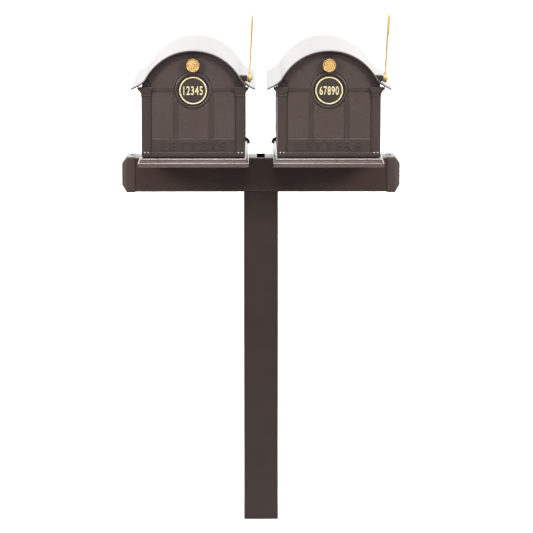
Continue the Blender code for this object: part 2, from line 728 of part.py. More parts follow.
def capital(side, name, sign, frame, behind):
    """Head of a pilaster: its front and sides slope out to a wider top."""
    inner = (0.1195, 0.1180)
    outer = (0.1520, 0.1600)
    heights = (NECK_HEIGHTS[1] - 0.0005, SHOULDER)
    faces = (RAISED_FACE - 0.001, RAISED_FACE - 0.006)
    head = block(f"{side}_capital_{name}", (-0.5, -0.5, -0.5), (0.5, 0.5, 0.5), frame)
    for vert in head.data.vertices:
        level = 0 if vert.co.z < 0 else 1
        x = sign * (outer[level] if vert.co.x * sign > 0 else inner[level])
        y = faces[level] if vert.co.y < 0 else behind
        vert.co = (x, y, heights[level])
    return head


KNOB_PROFILE = [
    (0.0, 0.0215),
    (0.0085, 0.0212),
    (0.0120, 0.0196),
    (0.0150, 0.0196),
    (0.0172, 0.0205),
    (KNOB_RADIUS, 0.0185),
    (KNOB_RADIUS, 0.0165),
    (0.0170, 0.0145),
    (0.0090, 0.0120),
    (0.0065, 0.0060),
    (0.0085, 0.0),
    (0.0028, 0.0),
    (0.0028, -0.0125),
    (0.0, -0.0130),
]
PLAQUE_RIM = PLAQUE_RADIUS - 0.0046
PLAQUE_PROFILE = [
    (0.0, 0.0034),
    (PLAQUE_RIM - 0.0006, 0.0034),
    (PLAQUE_RIM, 0.0048),
    (PLAQUE_RADIUS - 0.0010, 0.0048),
    (PLAQUE_RADIUS, 0.0038),
    (PLAQUE_RADIUS, 0.0),
    (0.0, 0.0),
]
STRIKE_LOW = 0.3155
STRIKE_HIGH = 0.3285


def make_door_fittings(side, box, frame):
    """Knob and its nut, number plaque, strike plate, and the magnet in the box that it meets."""
    knob = turned(f"{side}_door_knob", KNOB_PROFILE, frame, GOLD_PAINT)
    knob.location = (0.0, PANEL_FACE - GAP, KNOB_HEIGHT)
    knob.rotation_euler = (pi / 2, 0.0, 0.0)
    smooth(knob)

    nut_front = DOOR_BACK + GAP
    low, high = (0, nut_front, KNOB_HEIGHT), (0, nut_front + 0.004, KNOB_HEIGHT)
    nut = rod(f"{side}_knob_nut", 0.0055, low, high, frame, ZINC_STEEL, sides=6)
    low, high = (0, nut_front - 0.01, KNOB_HEIGHT), (0, nut_front + 0.01, KNOB_HEIGHT)
    cut(nut, rod(f"{side}_nut_bore", 0.0031, low, high, frame, sides=16))

    plaque = turned(f"{side}_number_plaque", PLAQUE_PROFILE, frame, PLAQUE, steps=40)
    plaque.location = (0.0, BOSS_FACE - GAP, PLAQUE_HEIGHT)
    plaque.rotation_euler = (pi / 2, 0.0, 0.0)
    smooth(plaque)

    strike_back = DOOR_BACK + 0.0020
    low, high = (-0.012, DOOR_BACK + GAP, STRIKE_LOW), (0.012, strike_back, STRIKE_HIGH)
    block(f"{side}_strike_plate", low, high, frame, ZINC_STEEL, 0.0004)
    magnet_front = strike_back + 0.0004
    low, high = (-0.015, magnet_front, STRIKE_LOW - 0.001), (0.015, magnet_front + 0.014, 0.340)
    magnet = block(f"{side}_magnet_catch", low, high, box, RUBBER)
    ceiling = mirrored(roof_half(-ROOF_SHEET - GAP)[:3])
    above = ceiling + [(ceiling[-1][0], 0.36), (ceiling[0][0], 0.36)]
    cut(magnet, plate(f"{side}_magnet_top_cut", above, -0.26, -0.20, box))


def flag_outline():
    """Arm with a small plate at its head, in the flag's own frame: y forward is negative, z up."""
    arm = 0.007
    plate_front = -0.045
    corner = 0.006
    plate_low = FLAG_RISE - 0.058
    return [
        (arm, 0.0),
        (arm, FLAG_RISE - corner),
        (arm - corner * 0.3, FLAG_RISE - corner * 0.3),
        (arm - corner, FLAG_RISE),
        (plate_front + corner, FLAG_RISE),
        (plate_front + corner * 0.3, FLAG_RISE - corner * 0.3),
        (plate_front, FLAG_RISE - corner),
        (plate_front, plate_low + corner),
        (plate_front + corner * 0.3, plate_low + corner * 0.3),
        (plate_front + corner, plate_low),
        (-arm - 0.010, plate_low),
        (-arm - 0.003, plate_low - 0.003),
        (-arm, plate_low - 0.010),
        (-arm, 0.0),
    ]


def make_flag(side, box):
    """Signal flag on a pivot screw, its bracket on the roof, all leaning out by the same angle."""
    pivot = empty(f"{side}_flag_pivot", (FLAG_X, FLAG_Y, FLAG_Z), box, lean=FLAG_LEAN)
    hub_half = 0.005
    hub_radius = 0.013
    shank = 0.003

    arm = plate(f"{side}_flag", flag_outline(), -FLAG_THICK / 2, FLAG_THICK / 2, pivot, GOLD_PAINT)
    # The outline was drawn in XZ: a quarter turn about Z brings its x onto y.
    arm.rotation_euler = (pi / 2, 0.0, pi / 2)
    hub = rod(f"{side}_flag_hub", hub_radius, (-hub_half, 0, 0), (hub_half, 0, 0), pivot, sides=28)
    bore = rod(f"{side}_flag_bore", shank + GAP, (-0.02, 0, 0), (0.02, 0, 0), pivot, sides=16)
    join(arm, hub)
    notch_low, notch_high = 0.0205, 0.0310
    for face, sign in (("in", -1), ("out", 1)):
        edges = sorted((sign * 0.0013, sign * 0.010))
        low, high = (edges[0], -0.02, notch_low), (edges[1], 0.02, notch_high)
        cut(arm, block(f"{side}_flag_neck_{face}", low, high, pivot))
    cut(arm, bore)

    low, high = (-0.034, -0.012, -0.010), (-hub_half - 0.0011, 0.012, 0.008)
    bracket = block(f"{side}_flag_bracket", low, high, pivot, CASTING, 0.0025)
    above = mirrored(roof_half(GAP))
    solid_roof = above + [(EAVE_REACH, 0.10), (-EAVE_REACH, 0.10)]
    cut(bracket, plate(f"{side}_roof_envelope", solid_roof, FLAG_Y - 0.03, FLAG_Y + 0.03, box))
    cut(bracket, rod(f"{side}_bracket_bore", shank + GAP, (-0.0205, 0, 0), (0.0, 0, 0), pivot, sides=16))

    low, high = (-hub_half - 0.0008, 0, 0), (-hub_half - 0.0003, 0, 0)
    washer = rod(f"{side}_flag_washer", 0.009, low, high, pivot, PLASTIC, sides=24)
    cut(washer, rod(f"{side}_washer_bore", shank + GAP, (-0.01, 0, 0), (0.0, 0, 0), pivot, sides=16))

    screw_profile = [
        (0.0, 0.0034),
        (0.0035, 0.0031),
        (0.0058, 0.0018),
        (0.0064, 0.0),
        (shank, 0.0),
        (shank, -0.0235),
        (0.0, -0.0245),
    ]
    screw = turned(f"{side}_flag_screw", screw_profile, pivot, GOLD_PAINT, steps=20)
    screw.location = (hub_half + GAP, 0.0, 0.0)
    screw.rotation_euler = (0.0, pi / 2, 0.0)
    smooth(screw)


def make_mailbox(side, centre_x):
    box = empty(f"{side}_mailbox", (centre_x, 0.0, BOX_FLOOR))
    make_base(side, box)
    make_floor_and_saddle(side, box)
    make_walls(side, box)
    make_roof(side, box)
    make_back(side, box)
    door_frame = make_door(side, box)
    make_door_fittings(side, box, door_frame)
    make_flag(side, box)


make_post_and_beam()
make_saddle()
make_end_caps()
make_access_plug()
for box_side, box_sign in (("left", -1), ("right", 1)):
    make_mailbox(box_side, box_sign * BOX_SPACING / 2)
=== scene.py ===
"""Twin post-mounted mailboxes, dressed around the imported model.

The studio comes first, then each piece in the order it is put together, from the post up to the flags.
Metres, +Z up, the fronts face -Y. Heights named `h` are measured from the underside of the boxes.
"""

import bmesh
import bpy
import numpy as np
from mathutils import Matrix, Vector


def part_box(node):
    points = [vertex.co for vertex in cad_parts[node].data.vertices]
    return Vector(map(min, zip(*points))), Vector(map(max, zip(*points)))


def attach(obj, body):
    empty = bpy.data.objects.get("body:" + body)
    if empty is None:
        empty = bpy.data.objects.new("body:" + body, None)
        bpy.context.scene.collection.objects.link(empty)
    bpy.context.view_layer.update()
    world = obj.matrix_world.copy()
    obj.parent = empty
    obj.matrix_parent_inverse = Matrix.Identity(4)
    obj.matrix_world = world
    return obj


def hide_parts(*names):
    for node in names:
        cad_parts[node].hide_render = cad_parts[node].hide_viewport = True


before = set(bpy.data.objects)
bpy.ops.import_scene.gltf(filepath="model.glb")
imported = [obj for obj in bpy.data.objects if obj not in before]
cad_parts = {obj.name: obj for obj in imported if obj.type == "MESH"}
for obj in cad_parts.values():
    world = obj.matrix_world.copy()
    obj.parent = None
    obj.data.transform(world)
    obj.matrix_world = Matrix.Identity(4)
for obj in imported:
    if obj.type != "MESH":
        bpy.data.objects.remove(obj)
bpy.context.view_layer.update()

# The studio: a camera on a long lens a little above the roofs, a pale floor and soft light. The sky is
# bright behind the set and dim in front, as a lit paper backdrop is. Soft boxes with grids stand at the
# front corners, above the front and straight overhead, and two plain ones light the floor behind.
scene = bpy.context.scene
scene.view_settings.view_transform = "Standard"
CAMERA_PLACE = (-0.02724, -8.0, 2.1600)
CAMERA_PITCH = 0.1724
CAMERA_YAW = -0.0055
camera = bpy.data.objects.new("camera", bpy.data.cameras.new("camera"))
camera.location = CAMERA_PLACE
camera.rotation_euler = (np.pi / 2 - CAMERA_PITCH, 0.0, CAMERA_YAW)
camera.data.sensor_width = 36.0
camera.data.lens = 183.0
camera.data.clip_end = 300.0
scene.collection.objects.link(camera)
scene.camera = camera


def node(tree, kind, inputs=None, **settings):
    """Adds one shader node. An input given as a socket is linked, and any other value is set on it."""
    made = tree.nodes.new("ShaderNode" + kind)
    for key, value in settings.items():
        setattr(made, key, value)
    for key, value in (inputs or {}).items():
        if isinstance(value, bpy.types.NodeSocket):
            tree.links.new(value, made.inputs[key])
        else:
            made.inputs[key].default_value = value
    return made


SKY_FRONT = 0.25
SKY_BACK = 2.65
sky = bpy.data.worlds.new("sky")
sky.use_nodes = True
scene.world = sky
direction = node(sky.node_tree, "TexCoord").outputs["Generated"]
direction_y = node(sky.node_tree, "SeparateXYZ", {"Vector": direction}).outputs["Y"]
sky_light = node(
    sky.node_tree,
    "MapRange",
    {"Value": direction_y, "From Min": 0.0, "From Max": 0.8, "To Min": SKY_FRONT, "To Max": SKY_BACK},
    interpolation_type="SMOOTHSTEP",
)
background = sky.node_tree.nodes["Background"]
background.inputs["Color"].default_value = (1.0, 1.0, 1.0, 1.0)
sky.node_tree.links.new(sky_light.outputs["Result"], background.inputs["Strength"])


def soft_box(name, place, aim, side, watts, spread):
    """A square area light at a place, turned to face a point. A grid narrows its beam to the spread,
    in degrees."""
    light = bpy.data.lights.new(name, "AREA")
    light.shape = "SQUARE"
    light.size = side
    light.energy = watts
    light.spread = np.radians(spread)
    lamp = bpy.data.objects.new(name, light)
    lamp.location = place
    towards = lamp.location.copy()
    towards.xyz = np.subtract(aim, place)
    lamp.rotation_euler = towards.to_track_quat("-Z", "Y").to_euler()
    scene.collection.objects.link(lamp)


MIDDLE = (0.0, 0.0, 0.95)
soft_box("soft_box_left", (-2.6, -2.6, 2.6), MIDDLE, 1.2, 23.0, 55.0)
soft_box("soft_box_right", (2.6, -2.6, 2.6), MIDDLE, 1.2, 23.0, 55.0)
soft_box("soft_box_front", (0.0, -2.4, 3.9), MIDDLE, 1.6, 11.0, 50.0)
soft_box("soft_box_overhead", (0.0, -0.8, 4.4), MIDDLE, 1.4, 13.0, 50.0)
soft_box("floor_light_near", (0.0, 9.0, 7.0), (0.0, 9.5, 0.0), 8.0, 560.0, 90.0)
soft_box("floor_light_far", (0.0, 25.0, 10.0), (0.0, 26.0, 0.0), 14.0, 1000.0, 110.0)

FLOOR_REACH = 60.0
FLOOR_HEIGHT = -0.0004
floor_mesh = bpy.data.meshes.new("floor")
floor_corners = [
    (x * FLOOR_REACH, y * FLOOR_REACH, FLOOR_HEIGHT)
    for x, y in ((-1, -1), (1, -1), (1, 1), (-1, 1))
]
floor_mesh.from_pydata(floor_corners, [], [(0, 1, 2, 3)])
floor = bpy.data.objects.new("floor", floor_mesh)
floor_paint = bpy.data.materials.new("floor_paint")
floor_paint.use_nodes = True
floor_shader = floor_paint.node_tree.nodes["Principled BSDF"]
floor_shader.inputs["Base Color"].default_value = (0.76, 0.76, 0.76, 1.0)
floor_shader.inputs["Roughness"].default_value = 0.9
floor_mesh.materials.append(floor_paint)
scene.collection.objects.link(floor)


# The post and the beam: lengths of 4 in square tube with a 3 mm wall, rounded along their edges,
# sawn off square, deburred, and powder coated dark bronze. The beam is bolted down on the post.
def quads(rows, columns, close_rows, close_columns):
    """Corner numbers of a grid's faces, taken round again where the rows or the columns close."""
    row = np.arange(rows if close_rows else rows - 1)
    column = np.arange(columns if close_columns else columns - 1)
    row, column = np.meshgrid(row, column, indexing="ij")
    next_row, next_column = (row + 1) % rows, (column + 1) % columns
    corners = (
        row * columns + column,
        row * columns + next_column,
        next_row * columns + next_column,
        next_row * columns + column,
    )
    return np.stack(corners, -1).reshape(-1, 4).tolist()


def rings_skin(rings, looped=False):
    """A closed skin over a stack of rings, shape (rings, points, 3). The first and the last ring are
    filled, or joined to each other where the stack is looped."""
    count, points = rings.shape[:2]
    faces = quads(count, points, looped, True)
    if not looped:
        faces.append(list(range(points)))
        faces.append(list(range((count - 1) * points, count * points)))
    return rings.reshape(-1, 3), faces


def rounded_rectangle(half_x, half_y, corner, steps=6):
    """A ring of (x, y) points: a quarter circle of the corner radius about each corner's own centre."""
    turn = np.arange(4)[:, None] * np.pi / 2 + np.linspace(0.0, np.pi / 2, steps)
    quarter = np.arange(4) * np.pi / 2 + np.pi / 4
    centre_x = np.sign(np.cos(quarter))[:, None] * (half_x - corner)
    centre_y = np.sign(np.sin(quarter))[:, None] * (half_y - corner)
    ring = np.stack([centre_x + corner * np.cos(turn), centre_y + corner * np.sin(turn)], -1)
    return ring.reshape(-1, 2)


def placed(ring, along, order, middle=(0.0, 0.0, 0.0)):
    """A flat ring stood at a distance along an axis; order says which coordinate is x, y and z."""
    flat = np.column_stack([ring, np.full(len(ring), along)])
    return flat[:, order] + np.array(middle)


def piece(name, skins, finish, body, replaced=(), sharp=32.0):
    """One finished piece out of closed skins: merged at its doubles, turned outwards, shaded smooth
    up to the sharp angle, riding on its body and standing for the nodes it replaces."""
    points, faces, start = [], [], 0
    for skin_points, skin_faces in skins:
        points.append(skin_points)
        faces += [[corner + start for corner in face] for face in skin_faces]
        start += len(skin_points)
    mesh = bpy.data.meshes.new(name)
    mesh.from_pydata(np.concatenate(points).tolist(), [], faces)
    shape = bmesh.new()
    shape.from_mesh(mesh)
    bmesh.ops.remove_doubles(shape, verts=shape.verts, dist=0.000002)
    bmesh.ops.recalc_face_normals(shape, faces=shape.faces)
    shape.to_mesh(mesh)
    shape.free()
    mesh.shade_smooth()
    mesh.set_sharp_from_angle(angle=np.radians(sharp))
    mesh.materials.append(finish)
    made = bpy.data.objects.new(name, mesh)
    scene.collection.objects.link(made)
    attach(made, body)
    if replaced:
        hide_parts(*replaced)
    return made


def plain_finish(name, colour, roughness, metallic=0.0, specular=0.5):
    """A material whose shader has its even values set, with its node tree and object coordinates."""
    finish = bpy.data.materials.new(name)
    finish.use_nodes = True
    shader = finish.node_tree.nodes["Principled BSDF"]
    shader.inputs["Base Color"].default_value = (*colour, 1.0)
    shader.inputs["Roughness"].default_value = roughness
    shader.inputs["Metallic"].default_value = metallic
    shader.inputs["Specular IOR Level"].default_value = specular
    where = node(finish.node_tree, "TexCoord").outputs["Object"]
    return finish, finish.node_tree, shader, where


def drift(tree, shader, where, scale, dark, light):
    """Lets the base colour drift between two tones with a noise of that scale."""
    noise = node(tree, "TexNoise", {"Vector": where, "Scale": scale, "Detail": 5.0, "Roughness": 0.62})
    tones = node(tree, "ValToRGB", {"Fac": noise.outputs["Fac"]})
    tones.color_ramp.elements[0].position = 0.32
    tones.color_ramp.elements[0].color = (*dark, 1.0)
    tones.color_ramp.elements[1].position = 0.70
    tones.color_ramp.elements[1].color = (*light, 1.0)
    tree.links.new(tones.outputs["Color"], shader.inputs["Base Color"])


def bumped(tree, shader, height, distance, strength=1.0):
    """Presses a pattern's height into the surface, its full rise given in metres."""
    bump = node(tree, "Bump", {"Height": height, "Distance": distance, "Strength": strength})
    tree.links.new(bump.outputs["Normal"], shader.inputs["Normal"])


def powder_coat(name, dark, light, roughness, grain, depth, uneven=0.05, specular=0.28):
    """Bronze powder coat: two browns in a broad drift, a skin of fine peel whose grain and depth are in
    metres, and a gloss that is uneven by that much either way."""
    finish, tree, shader, where = plain_finish(name, dark, roughness, specular=specular)
    drift(tree, shader, where, 7.0, dark, light)
    peel = node(tree, "TexNoise", {"Vector": where, "Scale": 1.0 / grain, "Detail": 3.0, "Roughness": 0.55})
    bumped(tree, shader, peel.outputs["Fac"], depth, 0.8)
    wiped = node(tree, "TexNoise", {"Vector": where, "Scale": 16.0, "Detail": 4.0})
    gloss = node(
        tree,
        "MapRange",
        {
            "Value": wiped.outputs["Fac"],
            "From Min": 0.3,
            "From Max": 0.7,
            "To Min": roughness - uneven,
            "To Max": roughness + uneven,
        },
    )
    tree.links.new(gloss.outputs["Result"], shader.inputs["Roughness"])
    return finish


TUBE_WALL = 0.003
TUBE_CORNER = 0.004
TUBE_BURR = 0.0005
# The post's brown is painted about half as light as the beam's, though both are the same coat: painted
# shade, for the lesser light the post gets.
post_coat_painted_shade = powder_coat(
    "post_coat_painted_shade",
    dark=(0.0155, 0.0094, 0.0082),
    light=(0.0195, 0.0122, 0.0108),
    roughness=0.36,
    grain=0.0022,
    depth=0.00010,
    specular=0.2,
)
beam_coat = powder_coat(
    "beam_coat",
    dark=(0.0290, 0.0164, 0.0132),
    light=(0.0355, 0.0206, 0.0170),
    roughness=0.36,
    grain=0.0022,
    depth=0.00010,
    specular=0.2,
)


def square_tube(low, high, order):
    """Rounded-square rings at rows of (place along the tube, inset), out along the outside and back
    through the bore, looped into one skin."""
    low, high = np.array(low)[order], np.array(high)[order]
    half = (high[:2] - low[:2]) / 2
    inner, burr = TUBE_WALL, TUBE_BURR
    start, end = low[2], high[2]
    rows = [(start, burr), (start + burr, 0.0), (end - burr, 0.0), (end, burr)]
    rows += [(end, inner - burr), (end - burr, inner), (start + burr, inner), (start, inner - burr)]
    back = np.argsort(order)
    middle = np.append((low[:2] + high[:2]) / 2, 0.0)[back]
    rings = []
    for along, inset in rows:
        square = rounded_rectangle(half[0] - inset, half[1] - inset, TUBE_CORNER - inset)
        rings.append(placed(square, along, back, middle))
    return rings_skin(np.array(rings), looped=True)


for tube, order, coat in (("post", [0, 1, 2], post_coat_painted_shade), ("beam", [1, 2, 0], beam_coat)):
    piece(f"{tube}_tube", [square_tube(*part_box(tube), order)], coat, "frame", [tube])

# The end caps: pressed covers pushed over the beam's ends, a square collar that slopes in to a smaller
# face, each held by one screw from above. They have the same coat, a shade lighter.
CAP_COLLAR = 0.0246
CAP_FACE_HALF = 0.032
CAP_WALL = 0.0016
cap_coat = powder_coat(
    "cap_coat",
    dark=(0.0310, 0.0196, 0.0165),
    light=(0.0380, 0.0247, 0.0212),
    roughness=0.34,
    grain=0.0022,
    depth=0.00010,
)


def end_cap(low, high, outwards):
    """Square rings at rows of (distance from the open rim, half side, corner radius), from deep in
    the bore out round the rim, along the collar and down the slope to the face."""
    half = (high.z - low.z) / 2
    length = high.x - low.x
    bore = half - CAP_WALL * 1.2
    rows = [
        (length - 2 * CAP_WALL, CAP_FACE_HALF - 0.003, 0.001),
        (CAP_COLLAR - CAP_WALL, bore, 0.003),
        (0.0006, bore, 0.003),
        (0.0, bore + 0.0005, 0.0035),
        (0.0, half - 0.0005, 0.0045),
        (0.0006, half, 0.005),
        (CAP_COLLAR - 0.0008, half, 0.005),
        (CAP_COLLAR, half - 0.0003, 0.005),
        (CAP_COLLAR + 0.0008, half - 0.0012, 0.0045),
        (length - 0.0008, CAP_FACE_HALF + 0.0010, 0.002),
        (length - 0.0002, CAP_FACE_HALF + 0.0002, 0.002),
        (length, CAP_FACE_HALF - 0.0008, 0.0015),
    ]
    rim = low.x if outwards > 0 else high.x
    middle = (0.0, (low.y + high.y) / 2, (low.z + high.z) / 2)
    rings = [
        placed(rounded_rectangle(side, side, corner), rim + outwards * along, [2, 0, 1], middle)
        for along, side, corner in rows
    ]
    return rings_skin(np.array(rings))


for side, outwards in (("left", -1), ("right", 1)):
    cap = f"beam_cap_{side}"
    piece(f"end_cap_{side}", [end_cap(*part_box(cap), outwards)], cap_coat, "frame", [cap])

# The base of each box: a cast plinth with a plain fascia and two splayed ledges with a fillet between
# them, carried round the front and both sides with mitred corners. Its coat is glossier than the rest.
MOULDING_HALF = 0.1475
MOULDING_FRONT = -0.2498
MOULDING_REACH = 0.0122
FASCIA_TOP = 0.0113
LEDGE = 0.0252
DECK = 0.0038
DECK_EDGE = 0.0006
# The base's brown is painted about twice as light as the door's: painted light, for the brightness its
# fascia and ledges take from the lamps. Its higher gloss is a real finish.
base_coat_painted_light = powder_coat(
    "base_coat_painted_light",
    dark=(0.040, 0.026, 0.022),
    light=(0.048, 0.032, 0.028),
    roughness=0.26,
    grain=0.0026,
    depth=0.00006,
    uneven=0.02,
    specular=0.6,
)
origins = {}
for side in ("left", "right"):
    roof_low, roof_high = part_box(f"{side}_roof")
    origins[side] = ((roof_low.x + roof_high.x) / 2, 0.0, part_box(f"{side}_base")[0].z)


def moved(skin, origin):
    """The same skin in its own box's place."""
    return skin[0] + np.array(origin), skin[1]


def slab(low, high, edge):
    """A block whose edges are rounded: rectangles stacked along z, drawn in by a quarter circle at
    the bottom and the top."""
    low, high = np.array(low), np.array(high)
    half = (high - low) / 2
    corner = edge * 1.02
    steps = 4
    turn = np.linspace(0.0, np.pi / 2, steps)
    inset = edge * (1 - np.sin(turn))
    rise = edge * (1 - np.cos(turn))
    rows = list(zip(low[2] + rise, inset)) + list(zip(high[2] - rise[::-1], inset[::-1]))
    middle = (*((low + high) / 2)[:2], 0.0)
    rings = []
    for z, cut in rows:
        level = rounded_rectangle(half[0] - cut, half[1] - cut, corner - cut, steps)
        rings.append(placed(level, z, [0, 1, 2], middle))
    return rings_skin(np.array(rings))


def base_moulding(back):
    """The section's (out, h) points set off from the left side, the front and the right side in turn,
    so that each corner is a mitre."""
    quarter = np.linspace(0.0, np.pi / 2, 5)
    upper_ledge = np.column_stack([0.0060 - 0.0044 * np.sin(quarter), LEDGE - 0.0046 * np.cos(quarter)])
    section = np.concatenate(
        [
            [(-DECK, 0.0), (MOULDING_REACH - 0.0006, 0.0), (MOULDING_REACH, 0.0006)],
            [(MOULDING_REACH, FASCIA_TOP - 0.0004), (MOULDING_REACH - 0.0004, FASCIA_TOP)],
            [(0.0078, 0.0150), (0.0070, 0.0153), (0.0067, 0.0157), (0.0064, 0.0203)],
            upper_ledge,
            [(-DECK, LEDGE)],
        ]
    )
    out, h = section.T
    stations = ((-1, False), (-1, True), (1, True), (1, False))
    rings = []
    for turn, front in stations:
        y = MOULDING_FRONT - out if front else np.full(len(out), back)
        rings.append(np.column_stack([turn * (MOULDING_HALF + out), y, h]))
    return rings_skin(np.array(rings))


for side in ("left", "right"):
    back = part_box(f"{side}_base")[1].y
    deck_low = (-MOULDING_HALF + DECK, MOULDING_FRONT + DECK, LEDGE - DECK)
    deck = slab(deck_low, (MOULDING_HALF - DECK, back, LEDGE), DECK_EDGE)
    rear = slab((-MOULDING_HALF, back - DECK, 0.0), (MOULDING_HALF, back, LEDGE - DECK), DECK_EDGE)
    skins = [moved(skin, origins[side]) for skin in (base_moulding(back), deck, rear)]
    piece(f"{side}_plinth", skins, base_coat_painted_light, "frame", [f"{side}_base"])

# The side walls: flat castings with the same coat inside and out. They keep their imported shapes, with
# the lug that carries the door's pin at the foot.
cast_coat = powder_coat(
    "cast_coat",
    dark=(0.0215, 0.0139, 0.0120),
    light=(0.0275, 0.0183, 0.0160),
    roughness=0.36,
    grain=0.0019,
    depth=0.00020,
)
for side in ("left", "right"):
    for wall in ("plain_side", "flag_side"):
        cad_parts[f"{side}_wall_{wall}"].material_slots[0].material = cast_coat

# The roof: one cast sheet, an arch that flares out into eaves, its front edge rolled down into a
# slightly thicker lip and its eave edges eased.
ROOF_RADIUS = 0.1566
ARC_CENTRE = 0.1806
ARC_REACH = 0.136
EAVE = (0.1796, 0.227)
ARC_PULL = 0.018
EAVE_PULL = 0.022
EAVE_SLOPE = (0.90, -0.435)
ROOF_SHEET = 0.0035
LIP = 0.0042
LIP_LENGTH = 0.0060
LIP_STEP = 0.0015
EAVE_THINNING = 0.55
roof_coat = powder_coat(
    "roof_coat",
    dark=(0.026, 0.017, 0.0145),
    light=(0.033, 0.022, 0.0190),
    roughness=0.30,
    grain=0.0024,
    depth=0.000012,
    uneven=0.005,
)


def roof_line():
    """Points (x, h) and outward normals from the left eave over the crown to the right one: a circular
    arc about its centre, then a cubic Bezier curve that leaves along the arc's tangent."""
    arc_steps, flare_steps = 40, 16
    start_height = np.sqrt(ROOF_RADIUS**2 - ARC_REACH**2)
    last = np.arctan2(ARC_REACH, start_height)
    angle = np.linspace(0.0, last, arc_steps + 1)
    arc_normal = np.column_stack([np.sin(angle), np.cos(angle)])
    arc = arc_normal * ROOF_RADIUS + (0.0, ARC_CENTRE)
    pulls = np.array([[np.cos(last), -np.sin(last)], EAVE_SLOPE]) * [[ARC_PULL], [EAVE_PULL]]
    ends = np.array([arc[-1], EAVE])
    knots = np.array([ends[0], ends[0] + pulls[0], ends[1] - pulls[1], ends[1]])
    t = np.append(np.linspace(0.0, 0.98, flare_steps), 1.0)[1:, None]
    u = 1 - t
    flare = knots[0] * u**3 + 3 * knots[1] * u * u * t + 3 * knots[2] * u * t * t + knots[3] * t**3
    legs = np.diff(knots, axis=0)
    slope = legs[0] * u * u + 2 * legs[1] * u * t + legs[2] * t * t
    slope /= np.linalg.norm(slope, axis=1, keepdims=True)
    flare_normal = np.column_stack([-slope[:, 1], slope[:, 0]])
    half = np.concatenate([arc, flare])
    half_normal = np.concatenate([arc_normal, flare_normal])
    mirror = np.array([-1.0, 1.0])
    line = np.concatenate([half[:0:-1] * mirror, half])
    return line, np.concatenate([half_normal[:0:-1] * mirror, half_normal])


def roof_sheet(front, back):
    """The sheet's own section, (y, depth below the outer face), is carried along the roof line: flat
    above, a half circle round each end, and stepped up from the lip to the sheet below."""
    turn = np.linspace(0.0, np.pi, 8)
    ring = [(y, 0.0) for y in np.linspace(back - ROOF_SHEET / 2, front + LIP / 2, 12)[1:-1]]
    ring += list(zip(front + LIP / 2 * (1 - np.sin(turn)), LIP / 2 * (1 - np.cos(turn))))
    ring += [(front + LIP_LENGTH, LIP), (front + LIP_LENGTH + LIP_STEP, ROOF_SHEET)]
    ring += [(y, ROOF_SHEET) for y in np.linspace(front + 0.02, back - 0.02, 9)]
    ring += list(zip(back - ROOF_SHEET / 2 * (1 - np.sin(turn)), ROOF_SHEET / 2 * (1 + np.cos(turn))))
    y, depth = np.array(ring).T
    line, normal = roof_line()
    depth = np.repeat(depth[None, :], len(line), 0)
    depth[[0, -1]] = ROOF_SHEET / 2 + (depth[[0, -1]] - ROOF_SHEET / 2) * EAVE_THINNING
    flat = line[:, None, :] - normal[:, None, :] * depth[:, :, None]
    return rings_skin(np.stack([flat[..., 0], np.broadcast_to(y, depth.shape), flat[..., 1]], -1))


for side in ("left", "right"):
    roof_low, roof_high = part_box(f"{side}_roof")
    skin = moved(roof_sheet(roof_low.y, roof_high.y), origins[side])
    piece(f"{side}_roof_sheet", [skin], roof_coat, "frame", [f"{side}_roof"])

# The door: one casting. Its panel is a sheet with a raised band for the lettering, two stiles, two
# rails and a round boss, and the sunk fields between them are pebbled. Pilasters with capitals, an
# arched head moulding and a foot strip with a bead stand proud of it.
PANEL_FACE = -0.242
PANEL_BACK = -0.237
BEHIND = PANEL_FACE + 0.0005
RAISED_FACE = -0.247
DOOR_HALF = 0.149
DOOR_FOOT = 0.0268
SHOULDER = 0.2306
HEAD_RADIUS = 0.1519
HEAD_REACH = 0.1365
FOOT_ROUND = 0.005
STRIP_TOP = 0.0416
BAND_TOP = 0.080
STILE = (0.045, 0.058)
RAIL = (0.217, 0.2292)
PILASTER = (0.122, 0.149)
PLAQUE_HEIGHT = 0.2207
BOSS_RING = 0.0482
BOSS_RING_HALF = 0.0048
BOSS_SEAT = 0.0396
FRAME_RELIEF = 0.0020
BOSS_RELIEF = 0.0034
SEAT_RELIEF = 0.0030
QUIRK = 0.0016
PEBBLE = 0.0032
PEBBLE_RELIEF = 0.00085
SOFT_EDGE = 0.0010
BAND_EDGE = 0.0016
PANEL_FINE_HALF = 0.1225
PANEL_FINE_COLUMNS = 246
PANEL_EDGE_COLUMNS = (0.128, 0.1325, HEAD_REACH, 0.143, DOOR_HALF)
SHAFT_TOP = 0.2036
LUG_ACROSS = (0.132, 0.142)
LUG_HEIGHTS = (0.0295, 0.0425)
LUG_BACK = -0.2345
door_coat = powder_coat(
    "door_coat",
    dark=(0.0196, 0.0130, 0.0113),
    light=(0.0255, 0.0172, 0.0152),
    roughness=0.38,
    grain=0.0016,
    depth=0.00022,
)


def ramp(value, edge, width):
    """Rises smoothly from 0 to 1 as the value passes the edge, over that width."""
    share = np.clip((value - edge) / width + 0.5, 0.0, 1.0)
    return share * share * (3 - 2 * share)


def between(value, low, high, width=0.0013):
    """1 between two edges and 0 outside them, with soft edges."""
    return ramp(value, low, width) * (1 - ramp(value, high, width))


def pebbles(x, h, size, seed):
    """Smooth random lumps from 0 to 1: random heights on a square lattice, blended between its corners
    by smooth steps."""
    cells = 400
    lattice = np.random.default_rng(seed).random((cells, cells))
    column, row = (x + 0.3) / size, (h + 0.1) / size
    i, j = np.floor(column).astype(int), np.floor(row).astype(int)
    a, b = column - i, row - j
    a, b = a * a * (3 - 2 * a), b * b * (3 - 2 * b)
    lower = lattice[i, j] * (1 - a) + lattice[i + 1, j] * a
    upper = lattice[i, j + 1] * (1 - a) + lattice[i + 1, j + 1] * a
    return lower * (1 - b) + upper * b


